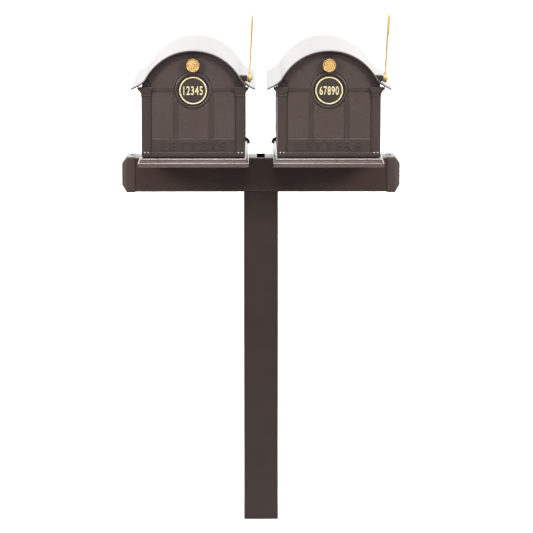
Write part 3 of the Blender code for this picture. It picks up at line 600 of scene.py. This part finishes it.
def door_network(x, h):
    """1 on the letter band, the stiles and the rails, and 0 between them, with soft edges."""
    across = np.abs(x)
    band = 1 - ramp(h, BAND_TOP, BAND_EDGE)
    stiles = between(across, *STILE) * (1 - ramp(h, RAIL[1], BAND_EDGE))
    rails = between(h, *RAIL) * ramp(across, STILE[0], 0.0013)
    return np.maximum(np.maximum(band, stiles), rails)


def door_sunk(x, h):
    """1 in the sunk fields, and 0 on the network, under the boss and beyond the pilasters' edges."""
    radius = np.hypot(x, h - PLAQUE_HEIGHT)
    outside_boss = ramp(radius, BOSS_RING + BOSS_RING_HALF, SOFT_EDGE)
    return (1 - door_network(x, h)) * outside_boss * (1 - ramp(np.abs(x), PILASTER[0], SOFT_EDGE))


def door_relief(x, h, seed):
    """How far the panel's front stands out at (x, h): the network, a half-round ring and a seat for the
    plaque, pebbles in the sunk fields, and a quirk cut along the pilasters, the ring and the band."""
    radius = np.hypot(x, h - PLAQUE_HEIGHT)
    ring = np.sqrt(np.clip(1 - ((radius - BOSS_RING) / BOSS_RING_HALF) ** 2, 0.0, 1.0))
    seat = 1 - ramp(radius, BOSS_SEAT, SOFT_EDGE)
    near_plaque = 1 - ramp(radius, BOSS_RING, SOFT_EDGE)
    network = door_network(x, h) * (1 - near_plaque)
    raised = np.maximum(np.maximum(FRAME_RELIEF * network, BOSS_RELIEF * ring), SEAT_RELIEF * seat)
    lumps = pebbles(x, h, PEBBLE, seed) * 0.7 + pebbles(x, h, PEBBLE * 0.55, seed + 1) * 0.3
    ring_edge = BOSS_RING + BOSS_RING_HALF
    by_ring = between(radius, ring_edge - 0.0004, ring_edge + 0.0012, SOFT_EDGE)
    by_pilaster = between(np.abs(x), PILASTER[0] - 0.0019, PILASTER[0] + 0.0002, SOFT_EDGE)
    by_band = between(h, BAND_TOP + 0.0006, BAND_TOP + 0.0020, SOFT_EDGE) * 0.5
    quirks = np.maximum(np.maximum(by_ring, by_pilaster), by_band)
    return raised + lumps * PEBBLE_RELIEF * (0.15 + 0.85 * door_sunk(x, h)) - QUIRK * quirks


def door_panel(seed):
    """Columns between the door's sides, and rows that are level up to the shoulders and then share out
    the height that the arched head leaves, with a skirt back to the flat inner face."""
    fine = np.linspace(-PANEL_FINE_HALF, PANEL_FINE_HALF, PANEL_FINE_COLUMNS)
    edge = np.array(PANEL_EDGE_COLUMNS)
    columns = np.concatenate([-edge[::-1], fine, edge])
    across = np.abs(columns)
    arc = ARC_CENTRE + np.sqrt(HEAD_RADIUS**2 - np.minimum(across, HEAD_REACH) ** 2)
    arc_end = ARC_CENTRE + np.sqrt(HEAD_RADIUS**2 - HEAD_REACH**2)
    slope = (arc_end - SHOULDER) / (DOOR_HALF - HEAD_REACH)
    head = np.where(across > HEAD_REACH, SHOULDER + (DOOR_HALF - across) * slope, arc)
    level = np.concatenate([[DOOR_FOOT, 0.0345], np.linspace(STRIP_TOP, SHOULDER, 190)])
    share = np.linspace(0.0, 1.0, 100)[1:, None]
    rows = np.repeat(level[:, None], len(columns), 1)
    rows = np.concatenate([rows, SHOULDER + share * (head - SHOULDER)])
    x = np.broadcast_to(columns, rows.shape)
    front = np.stack([x, PANEL_FACE - door_relief(x, rows, seed), rows], -1)
    count, wide = rows.shape
    number = np.arange(count * wide).reshape(count, wide)
    faces = quads(count, wide, False, False)
    rim = np.concatenate([number[0], number[1:, -1], number[-1, -2::-1], number[-2:0:-1, 0]])
    inner = front.reshape(-1, 3)[rim].copy()
    inner[:, 1] = PANEL_BACK
    first = count * wide
    ring = np.arange(len(rim))
    after = (ring + 1) % len(rim)
    faces += np.column_stack([rim, first + ring, first + after, rim[after]]).tolist()
    faces.append((first + ring).tolist())
    return np.concatenate([front.reshape(-1, 3), inner]), faces


def upright(section, low, high):
    """An (x, y) section carried straight up between two heights."""
    rings = [placed(np.array(section), h, [0, 1, 2]) for h in (low, high)]
    return rings_skin(np.array(rings))


def pilaster(turn):
    """A flat shaft with eased arrises and a lower fillet along its inner edge."""
    inner, outer = PILASTER
    section = [
        (outer, BEHIND),
        (outer, RAISED_FACE + 0.0012),
        (outer - 0.0004, RAISED_FACE + 0.0003),
        (outer - 0.0013, RAISED_FACE),
        (inner + 0.0062, RAISED_FACE),
        (inner + 0.0056, RAISED_FACE + 0.0002),
        (inner + 0.0050, RAISED_FACE + 0.0014),
        (inner + 0.0008, RAISED_FACE + 0.0015),
        (inner, RAISED_FACE + 0.0022),
        (inner, BEHIND),
    ]
    return upright([(turn * x, y) for x, y in section], STRIP_TOP - 0.001, SHAFT_TOP)


def capital(turn):
    """Rectangles stacked up the pilaster's head, from rows of (h, inner edge, outer edge, face): a bead
    at the neck, a hollow, a slope out to the wider top and a flat band."""
    rise = np.linspace(-1.0, 1.0, 7)
    bulge = np.sqrt(1.0001 - rise**2)
    rows = [
        (0.2062 + 0.0028 * r, 0.1217 - 0.0014 * b, 0.1493 + 0.0014 * b, RAISED_FACE - 0.0020 * b)
        for r, b in zip(rise, bulge)
    ]
    rows += [
        (0.2100, 0.1216, 0.1496, RAISED_FACE - 0.0006),
        (0.2135, 0.1211, 0.1507, RAISED_FACE - 0.0012),
        (0.2175, 0.1203, 0.1531, RAISED_FACE - 0.0026),
        (0.2215, 0.1192, 0.1567, RAISED_FACE - 0.0043),
        (0.2238, 0.1184, 0.1592, RAISED_FACE - 0.0055),
        (0.2245, 0.1181, 0.1599, RAISED_FACE - 0.0059),
        (0.2252, 0.1180, 0.1600, RAISED_FACE - 0.0060),
        (0.2299, 0.1180, 0.1600, RAISED_FACE - 0.0060),
        (0.2306, 0.1186, 0.1594, RAISED_FACE - 0.0054),
    ]
    h, inner, outer, face = np.array(rows).T
    back = np.full(len(h), BEHIND)
    corners = [(inner, back), (inner, face), (outer, face), (outer, back)]
    rings = np.stack([np.column_stack([turn * x, y, h]) for x, y in corners], 1)
    return rings_skin(rings)


def head_moulding():
    """A (radius, y) section carried round the head: a flat outer band, then a hollow falling to a small
    fillet at the panel."""
    quarter = np.linspace(0.0, np.pi / 2, 7)
    hollow_radius = 0.1370 + 0.0060 * (1 - np.sin(quarter))
    hollow_y = RAISED_FACE + 0.0008 + 0.0026 * (1 - np.cos(quarter))
    section = [(0.1513, BEHIND), (0.1513, RAISED_FACE + 0.0008), (0.1506, RAISED_FACE)]
    section += [(0.1438, RAISED_FACE), (0.1431, RAISED_FACE + 0.0005)]
    section += list(zip(hollow_radius, hollow_y))
    section += [(0.1356, RAISED_FACE + 0.0033), (0.1340, RAISED_FACE + 0.0040), (0.1338, BEHIND)]
    radius, y = np.array(section).T
    turn = np.radians(np.linspace(-62.0, 62.0, 97))[:, None]
    y = np.broadcast_to(y, (len(turn), len(radius)))
    rings = np.stack([radius * np.sin(turn), y, ARC_CENTRE + radius * np.cos(turn)], -1)
    return rings_skin(rings)


def foot_strip():
    """A (y, h) section carried across the door: a rounded foot, a flat face, a groove and a bead."""
    quarter = np.linspace(0.0, np.pi / 2, 7)
    foot_y = RAISED_FACE + FOOT_ROUND * (1 - np.sin(quarter))
    foot_h = DOOR_FOOT + FOOT_ROUND * (1 - np.cos(quarter))
    half_turn = np.linspace(-np.pi / 2, np.pi / 2, 9)
    bead_y = RAISED_FACE + 0.0008 - 0.0010 * np.cos(half_turn)
    bead_h = 0.0401 + 0.0013 * np.sin(half_turn)
    section = [(BEHIND, DOOR_FOOT)]
    section += list(zip(foot_y, foot_h))
    section += [(RAISED_FACE, 0.0380), (RAISED_FACE + 0.0007, 0.0386)]
    section += list(zip(bead_y, bead_h))
    section += [(BEHIND, 0.0415)]
    y, h = np.array(section).T
    rings = np.stack([np.column_stack([np.full(len(y), x), y, h]) for x in (-DOOR_HALF, DOOR_HALF)])
    return rings_skin(rings)


def door_casting(seed):
    """The panel, the head moulding and the foot strip, and on each side a pilaster with its capital and
    the hinge lug behind its foot."""
    skins = [door_panel(seed), head_moulding(), foot_strip()]
    for turn in (-1, 1):
        skins += [pilaster(turn), capital(turn)]
        inner, outer = sorted(turn * across for across in LUG_ACROSS)
        low, high = LUG_HEIGHTS
        skins.append(slab((inner, PANEL_BACK - 0.001, low), (outer, LUG_BACK, high), 0.0012))
    return skins


# The sunk fields, picked out by the sunk attribute, are mixed to a lighter brown than the raised frames:
# painted light, a lit copy of the door's coat for the light the pebbled fields catch.
FIELD_PAINTED_LIGHT = (0.0300, 0.0206, 0.0184, 1.0)
FIELD_REACH = 0.0014
tree = door_coat.node_tree
shader = tree.nodes["Principled BSDF"]
plain_tone = shader.inputs["Base Color"].links[0].from_socket
sunk = node(tree, "Attribute", attribute_name="sunk").outputs["Fac"]
tone = node(tree, "MixRGB", {"Fac": sunk, "Color1": plain_tone, "Color2": FIELD_PAINTED_LIGHT})
tree.links.new(tone.outputs["Color"], shader.inputs["Base Color"])
for seed, side in ((11, "left"), (23, "right")):
    skins = [moved(skin, origins[side]) for skin in door_casting(seed)]
    door = piece(f"{side}_door_casting", skins, door_coat, f"{side}_door", [f"{side}_door"])
    points = np.empty(len(door.data.vertices) * 3)
    door.data.vertices.foreach_get("co", points)
    x, y, h = (points.reshape(-1, 3) - origins[side]).T
    share = door_sunk(x, h) * (y > PANEL_FACE - FIELD_REACH) * (y < PANEL_FACE + FIELD_REACH)
    door.data.attributes.new("sunk", "FLOAT", "POINT").data.foreach_set("value", share)

# Two small bright rivets at the foot of each pilaster, which hold the hinge lugs behind the door.
RIVET_PLACES = (0.1304, 0.1400)
RIVET_HEIGHT = 0.0410
RIVET_PROFILE = [(0.0017, -0.0004), (0.0017, 0.0), (0.0015, 0.0005), (0.0010, 0.0009), (0.0004, 0.0011)]
rivet_steel, tree, shader, where = plain_finish("rivet_steel", (0.50, 0.47, 0.44), 0.45, 0.5)
drift(tree, shader, where, 400.0, (0.42, 0.39, 0.36), (0.56, 0.53, 0.50))


def turned_skin(centre, axis, profile, around):
    """A turned piece: each (radius, height) of the profile becomes a circle, the height measured along
    the axis from the centre."""
    axis = np.array(axis, float) / np.linalg.norm(axis)
    side = np.cross(axis, (0.0, 1.0, 0.0) if abs(axis[1]) < 0.9 else (1.0, 0.0, 0.0))
    side /= np.linalg.norm(side)
    across = np.cross(axis, side)
    turn = np.linspace(0.0, 2 * np.pi, around, endpoint=False)
    circle = np.cos(turn)[:, None] * side + np.sin(turn)[:, None] * across
    radius, height = np.array(profile).T
    rings = radius[:, None, None] * circle + height[:, None, None] * axis + np.array(centre)
    return rings_skin(rings)


for side in ("left", "right"):
    skins = []
    for turn in (-1, 1):
        for x in RIVET_PLACES:
            rivet = turned_skin((turn * x, RAISED_FACE, RIVET_HEIGHT), (0, -1, 0), RIVET_PROFILE, 20)
            skins.append(moved(rivet, origins[side]))
    piece(f"{side}_door_rivets", skins, rivet_steel, f"{side}_door")

# Raised lettering on the door's band, part of the same casting: a plain word set wide.
LETTER_LOW = 0.0478
LETTER_HIGH = 0.0730
LETTER_HALF_WIDTH = 0.092
LETTER_RELIEF = 0.0024


def raised_text(words, low, high, face, relief, weight, spacing, bevel):
    """The outlines of the words, given thickness and a small bevel, scaled to fill the (x, h) box from
    low to high, and stood up to face -Y with their front at the face."""
    curve = bpy.data.curves.new(words, "FONT")
    curve.body = words
    curve.space_character = spacing
    curve.offset = weight
    curve.extrude = 0.05
    curve.bevel_depth = bevel
    curve.bevel_resolution = 1
    curve.resolution_u = 6
    drawn = bpy.data.objects.new(words, curve)
    scene.collection.objects.link(drawn)
    bpy.context.view_layer.update()
    mesh = bpy.data.meshes.new_from_object(drawn.evaluated_get(bpy.context.evaluated_depsgraph_get()))
    points = np.empty(len(mesh.vertices) * 3)
    mesh.vertices.foreach_get("co", points)
    points = points.reshape(-1, 3)
    faces = [list(face.vertices) for face in mesh.polygons]
    bpy.data.objects.remove(drawn)
    share = (points - points.min(0)) / np.ptp(points, axis=0)
    x = low[0] + share[:, 0] * (high[0] - low[0])
    h = low[1] + share[:, 1] * (high[1] - low[1])
    y = face + (1 - share[:, 2]) * relief
    return np.column_stack([x, y, h]), faces


for side in ("left", "right"):
    words = raised_text(
        "LETTERS",
        low=(-LETTER_HALF_WIDTH, LETTER_LOW),
        high=(LETTER_HALF_WIDTH, LETTER_HIGH),
        face=PANEL_FACE - FRAME_RELIEF - LETTER_RELIEF,
        relief=LETTER_RELIEF + 0.001,
        weight=-0.022,
        spacing=1.35,
        bevel=0.032,
    )
    piece(f"{side}_door_lettering", [moved(words, origins[side])], door_coat, f"{side}_door")

# The pull knob: a turned brass medallion on a stem, screwed through the door. Its face has a raised
# rim, a ring of beads and an eight-petalled rosette, and it is lacquered a satin gold.
KNOB_HEIGHT = 0.294
KNOB_RADIUS = 0.019
KNOB_FACE = -0.2624
KNOB_FACE_RADIUS = 0.0150
PETALS = 8
PETAL_START = 0.0022
PETAL_LENGTH = 0.0078
PETAL_RELIEF = 0.0011
CENTRE_RADIUS = 0.0025
CENTRE_RELIEF = 0.0012
BEADS = 36
BEAD_RELIEF = 0.0008
KNOB_BACK = [
    (0.0156, 0.0002),
    (0.0162, 0.0009),
    (0.0170, 0.0013),
    (0.0178, 0.0013),
    (0.0185, 0.0010),
    (KNOB_RADIUS, 0.0002),
    (KNOB_RADIUS, -0.0016),
    (0.0184, -0.0026),
    (0.0168, -0.0036),
    (0.0130, -0.0052),
    (0.0092, -0.0072),
    (0.0070, -0.0100),
    (0.0063, -0.0140),
    (0.0068, -0.0175),
    (0.0082, -0.0192),
    (0.0085, -0.0200),
]


def gold_finish(name, dark, light, roughness, metallic):
    """Lacquered gold: a warm drift of tone, fine brushing in the gloss and a faint cast skin."""
    finish, tree, shader, where = plain_finish(name, light, roughness, metallic)
    drift(tree, shader, where, 55.0, dark, light)
    rub = node(tree, "TexNoise", {"Vector": where, "Scale": 240.0, "Detail": 4.0})
    gloss = node(
        tree,
        "MapRange",
        {"Value": rub.outputs["Fac"], "To Min": roughness - 0.1, "To Max": roughness + 0.12},
    )
    tree.links.new(gloss.outputs["Result"], shader.inputs["Roughness"])
    skin = node(tree, "TexNoise", {"Vector": where, "Scale": 700.0, "Detail": 2.0})
    bumped(tree, shader, skin.outputs["Fac"], 0.00012, 0.6)
    return finish


knob_gold = gold_finish("knob_gold", (0.25, 0.140, 0.038), (0.33, 0.205, 0.066), 0.30, 0.45)


def knob_skin():
    """Rings from the middle of the face out over the rim and back along the stem. On the face the
    height also turns with the angle: petals as a squared cosine, beads as a plain one."""
    turn = np.linspace(0.0, 2 * np.pi, 144, endpoint=False)
    face = np.linspace(0.0003, KNOB_FACE_RADIUS, 44)
    radius, angle = np.meshgrid(face, turn, indexing="ij")
    petal_span = np.clip((radius - PETAL_START) / PETAL_LENGTH, 0.0, 1.0)
    petals = PETAL_RELIEF * np.sin(np.pi * petal_span) ** 0.8 * np.cos(PETALS / 2 * angle) ** 2
    boss = CENTRE_RELIEF * np.sqrt(np.clip(1 - (radius / CENTRE_RADIUS) ** 2, 0.0, 1.0))
    ring = 0.0006 * between(radius, 0.0104, 0.0112, 0.0006)
    bead_row = BEAD_RELIEF * between(radius, 0.0120, 0.0136, 0.0008)
    height = petals + boss + ring + bead_row * (0.55 + 0.45 * np.cos(BEADS * angle))
    rim, rise = np.array(KNOB_BACK).T
    radius = np.concatenate([radius, np.repeat(rim[:, None], len(turn), 1)])
    height = np.concatenate([height, np.repeat(rise[:, None], len(turn), 1)])
    angle = np.broadcast_to(turn, radius.shape)
    rings = [radius * np.sin(angle), KNOB_FACE - height, KNOB_HEIGHT + radius * np.cos(angle)]
    return rings_skin(np.stack(rings, -1))


for side in ("left", "right"):
    skin = moved(knob_skin(), origins[side])
    piece(f"{side}_pull_knob", [skin], knob_gold, f"{side}_door", [f"{side}_door_knob"], 50.0)

# The number plaque: a cast disc fixed on the boss, dark in its field, its rim and its five raised
# figures painted pale gold.
PLAQUE_RADIUS = 0.03975
PLAQUE_BACK = -0.2453
PLAQUE_FIELD = -0.2487
PLAQUE_THICK = PLAQUE_BACK - PLAQUE_FIELD
PLAQUE_RIM = 0.0037
PLAQUE_STEPS = 96
RIM_RELIEF = 0.0014
FIGURE_HALF_WIDTH = 0.0278
FIGURE_HALF_HEIGHT = 0.0126
FIGURE_RELIEF = 0.0013
plaque_coat = powder_coat(
    "plaque_coat",
    dark=(0.016, 0.0110, 0.0095),
    light=(0.022, 0.0155, 0.0135),
    roughness=0.42,
    grain=0.0009,
    depth=0.00018,
)
rim_gold = gold_finish("rim_gold", (0.34, 0.290, 0.150), (0.41, 0.360, 0.20), 0.42, 0.1)



def plaque_disc(centre):
    """A disc turned from (radius, height) rows, its front edge eased."""
    edge = PLAQUE_RADIUS - 0.0003
    profile = [
        (0.0004, PLAQUE_THICK),
        (PLAQUE_RADIUS - PLAQUE_RIM + 0.0004, PLAQUE_THICK),
        (PLAQUE_RADIUS - 0.0006, PLAQUE_THICK - 0.0002),
        (edge, PLAQUE_THICK - 0.0006),
        (edge, 0.0),
        (0.0004, 0.0),
    ]
    return turned_skin(centre, (0, -1, 0), profile, PLAQUE_STEPS)


def plaque_rim(centre):
    """A (radius, height) section carried round the centre: half an ellipse above, let into the disc."""
    half = PLAQUE_RIM / 2
    foot = PLAQUE_THICK - 0.0012
    arch = np.linspace(0.0, np.pi, 11)
    ridge_radius = PLAQUE_RADIUS - half + half * np.cos(arch)
    ridge_height = PLAQUE_THICK + RIM_RELIEF * np.sin(arch)
    radius = np.concatenate([[PLAQUE_RADIUS], ridge_radius, [PLAQUE_RADIUS - PLAQUE_RIM]])
    height = np.concatenate([[foot], ridge_height, [foot]])
    turn = np.linspace(0.0, 2 * np.pi, PLAQUE_STEPS, endpoint=False)[:, None]
    y = np.broadcast_to(-height, (len(turn), len(height)))
    ring = np.stack([radius * np.sin(turn), y, radius * np.cos(turn)], -1)
    return rings_skin(ring + centre, looped=True)


for side, figures in (("left", "12345"), ("right", "67890")):
    door = f"{side}_door"
    centre = np.array(origins[side]) + (0.0, PLAQUE_BACK, PLAQUE_HEIGHT)
    digits = raised_text(
        figures,
        low=(-FIGURE_HALF_WIDTH, PLAQUE_HEIGHT - FIGURE_HALF_HEIGHT),
        high=(FIGURE_HALF_WIDTH, PLAQUE_HEIGHT + FIGURE_HALF_HEIGHT),
        face=PLAQUE_FIELD - FIGURE_RELIEF,
        relief=FIGURE_RELIEF + 0.0003,
        weight=0.0,
        spacing=1.12,
        bevel=0.012,
    )
    disc = [plaque_disc(centre)]
    piece(f"{side}_plaque_disc", disc, plaque_coat, door, [f"{side}_number_plaque"])
    piece(f"{side}_plaque_rim", [plaque_rim(centre)], rim_gold, door, sharp=50.0)
    piece(f"{side}_plaque_figures", [moved(digits, origins[side])], rim_gold, door)

# The signal flag: a cast arm with a small plate at its head, turning on a screw through its hub. Just
# above the hub the arm is thinned to a neck. It leans out from the box and is painted satin gold.
PIVOT = (0.162, -0.215, 0.254)
LEAN = np.radians(2.8)
ARM_HALF = 0.007
FLAG_HALF_THICK = 0.00225
FLAG_RISE = 0.186
FLAG_FRONT = -0.045
FLAG_DROP = 0.058
FLAG_CORNER = 0.006
FLAG_FILLET = 0.010
FLAG_FIELD = (-0.0392, 0.0008)
FLAG_FIELD_RISE = 0.006
SHOULDER_CORNER = 0.002
HUB_RADIUS = 0.013
HUB_HALF = 0.005
HUB_BORE = 0.0031
NECK = (0.0205, 0.0310)
NECK_HALF_THICK = 0.0013
flag_gold = gold_finish("flag_gold", (0.30, 0.18, 0.052), (0.38, 0.245, 0.085), 0.34, 0.35)


def corner_arc(y, z, radius, first, last, steps=6):
    """Points round a corner's own centre, by angle from +y towards +z."""
    angle = np.radians(np.linspace(first, last, steps))
    return np.column_stack([y + radius * np.cos(angle), z + radius * np.sin(angle)])


def drawn_in(ring, inset):
    """A ring of points moved inwards: each along the sum of its two sides' normals, mitred."""
    side = np.roll(ring, -1, 0) - ring
    side /= np.linalg.norm(side, axis=1, keepdims=True)
    normal = np.column_stack([-side[:, 1], side[:, 0]])
    before = np.roll(normal, 1, 0)
    mitre = (normal + before) / (1 + np.sum(normal * before, axis=1, keepdims=True))
    return ring + mitre * inset


def rounded_plate(ring, half, edge):
    """A flat (y, z) ring given thickness along x, its edges rounded by a quarter circle each way."""
    turn = np.linspace(0.0, np.pi / 2, 4)
    inset, out = edge * (1 - np.sin(turn)), half - edge + edge * np.cos(turn)
    rows = list(zip(-out, inset)) + list(zip(out[::-1], inset[::-1]))
    rings = [placed(drawn_in(ring, cut), x, [2, 0, 1]) for x, cut in rows]
    return rings_skin(np.array(rings))


def flag_skins():
    """The arm and plate above the neck, the shoulder below it, the neck, the plate's raised field and
    the hub, about the pivot."""
    reach, top = ARM_HALF - FLAG_CORNER, FLAG_RISE - FLAG_CORNER
    front, foot = FLAG_FRONT + FLAG_CORNER, FLAG_RISE - FLAG_DROP
    outline = np.concatenate(
        [
            [(-ARM_HALF, NECK[1]), (ARM_HALF, NECK[1])],
            corner_arc(reach, top, FLAG_CORNER, 0, 90),
            corner_arc(front, top, FLAG_CORNER, 90, 180),
            corner_arc(front, foot + FLAG_CORNER, FLAG_CORNER, 180, 270),
            corner_arc(-ARM_HALF - FLAG_FILLET, foot - FLAG_FILLET, FLAG_FILLET, 90, 0),
        ]
    )
    neck_half = ARM_HALF - 0.001
    neck = np.array([(-neck_half, 0.010), (neck_half, 0.010), (neck_half, 0.034), (-neck_half, 0.034)])
    corner_y, corner_z = ARM_HALF - SHOULDER_CORNER, NECK[0] - SHOULDER_CORNER
    shoulder = np.concatenate(
        [
            [(-ARM_HALF, 0.004), (ARM_HALF, 0.004)],
            corner_arc(corner_y, corner_z, SHOULDER_CORNER, 0, 90, 4),
            corner_arc(-corner_y, corner_z, SHOULDER_CORNER, 90, 180, 4),
        ]
    )
    field_foot = foot + FLAG_FIELD_RISE
    field_front, field_back = FLAG_FIELD
    field = np.array(
        [(field_front, field_foot), (field_back, field_foot), (field_back, top), (field_front, top)]
    )
    skins = [
        rounded_plate(outline, FLAG_HALF_THICK, 0.0009),
        rounded_plate(shoulder, FLAG_HALF_THICK + 0.0006, 0.0009),
        rounded_plate(neck, NECK_HALF_THICK, 0.0004),
        rounded_plate(field, FLAG_HALF_THICK + 0.0005, 0.0005),
    ]
    near_side = [
        (HUB_BORE, -HUB_HALF),
        (HUB_RADIUS - 0.0022, -HUB_HALF),
        (HUB_RADIUS - 0.0008, -HUB_HALF + 0.0006),
        (HUB_RADIUS, -HUB_HALF + 0.0020),
    ]
    far_side = [(radius, -height) for radius, height in reversed(near_side)]
    skins.append(turned_skin((0, 0, 0), (1, 0, 0), near_side + far_side, 48))
    return skins


def leaned(skin, origin):
    """The flag's own skin, leaned out about y at the pivot and moved to its box."""
    x, y, z = skin[0].T
    turned = np.column_stack([x * np.cos(LEAN) + z * np.sin(LEAN), y, z * np.cos(LEAN) - x * np.sin(LEAN)])
    return turned + np.array(PIVOT) + np.array(origin), skin[1]


for side in ("left", "right"):
    skins = [leaned(skin, origins[side]) for skin in flag_skins()]
    piece(f"{side}_signal_flag", skins, flag_gold, f"{side}_flag", [f"{side}_flag"])
    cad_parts[f"{side}_flag_screw"].material_slots[0].material = flag_gold
    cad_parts[f"{side}_flag_bracket"].material_slots[0].material = cast_coat

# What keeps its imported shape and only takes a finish: the back panel, the seal, the sheet floor, the
# magnet, the slot's cover, the screws, pins, bolts and channels.
zinc, tree, shader, where = plain_finish("zinc_plate", (0.42, 0.42, 0.41), 0.32, 1.0)
drift(tree, shader, where, 120.0, (0.34, 0.34, 0.33), (0.50, 0.50, 0.48))
spangle = node(tree, "TexVoronoi", {"Vector": where, "Scale": 220.0})
bumped(tree, shader, spangle.outputs["Distance"], 0.00005)

sheet, tree, shader, where = plain_finish("rolled_sheet", (0.55, 0.55, 0.54), 0.36, 1.0)
grain_map = node(tree, "Mapping", {"Vector": where, "Scale": (900.0, 12.0, 900.0)})
grain = node(tree, "TexNoise", {"Vector": grain_map.outputs["Vector"], "Scale": 1.0, "Detail": 3.0})
bumped(tree, shader, grain.outputs["Fac"], 0.00004)
drift(tree, shader, where, 14.0, (0.46, 0.46, 0.45), (0.60, 0.60, 0.58))

rubber, tree, shader, where = plain_finish("foam_rubber", (0.010, 0.010, 0.010), 0.75)
drift(tree, shader, where, 90.0, (0.006, 0.006, 0.006), (0.016, 0.016, 0.016))
cells = node(tree, "TexVoronoi", {"Vector": where, "Scale": 1500.0})
bumped(tree, shader, cells.outputs["Distance"], 0.0002)

# Near black with no gloss: the black plastic of the magnet catch, and on the beam's access plug painted
# shade, so that the plug reads as the dark of an open slot.
black_plastic_slot_shade = (0.004, 0.004, 0.004)
slot_shade_and_moulding_black, tree, shader, where = plain_finish("painted_slot_shade_moulding", black_plastic_slot_shade, 0.95, specular=0.0)
drift(tree, shader, where, 60.0, (0.003, 0.003, 0.003), (0.006, 0.006, 0.006))
spark = node(tree, "TexNoise", {"Vector": where, "Scale": 1100.0, "Detail": 2.0})
bumped(tree, shader, spark.outputs["Fac"], 0.0001)

nylon, tree, shader, where = plain_finish("nylon", (0.75, 0.74, 0.70), 0.5)
drift(tree, shader, where, 80.0, (0.66, 0.65, 0.60), (0.80, 0.79, 0.75))

BOX_FINISHES = {
    "back_panel": cast_coat,
    "back_seal": rubber,
    "floor_pan": sheet,
    "magnet_catch": slot_shade_and_moulding_black,
    "flag_washer": nylon,
    "mounting_channel": zinc,
    "box_bolt_front": zinc,
    "box_bolt_rear": zinc,
    "back_screw_plain_side": zinc,
    "back_screw_flag_side": zinc,
    "hinge_pin_plain_side": zinc,
    "hinge_pin_flag_side": zinc,
    "knob_nut": zinc,
    "strike_plate": zinc,
}
for side in ("left", "right"):
    for name, finish in BOX_FINISHES.items():
        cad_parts[f"{side}_{name}"].material_slots[0].material = finish
BEAM_FINISHES = {
    "access_plug": slot_shade_and_moulding_black,
    "post_saddle": zinc,
    "saddle_bolt_front": zinc,
    "saddle_bolt_rear": zinc,
    "cap_screw_left": cap_coat,
    "cap_screw_right": cap_coat,
}
for name, finish in BEAM_FINISHES.items():
    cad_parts[name].material_slots[0].material = finish
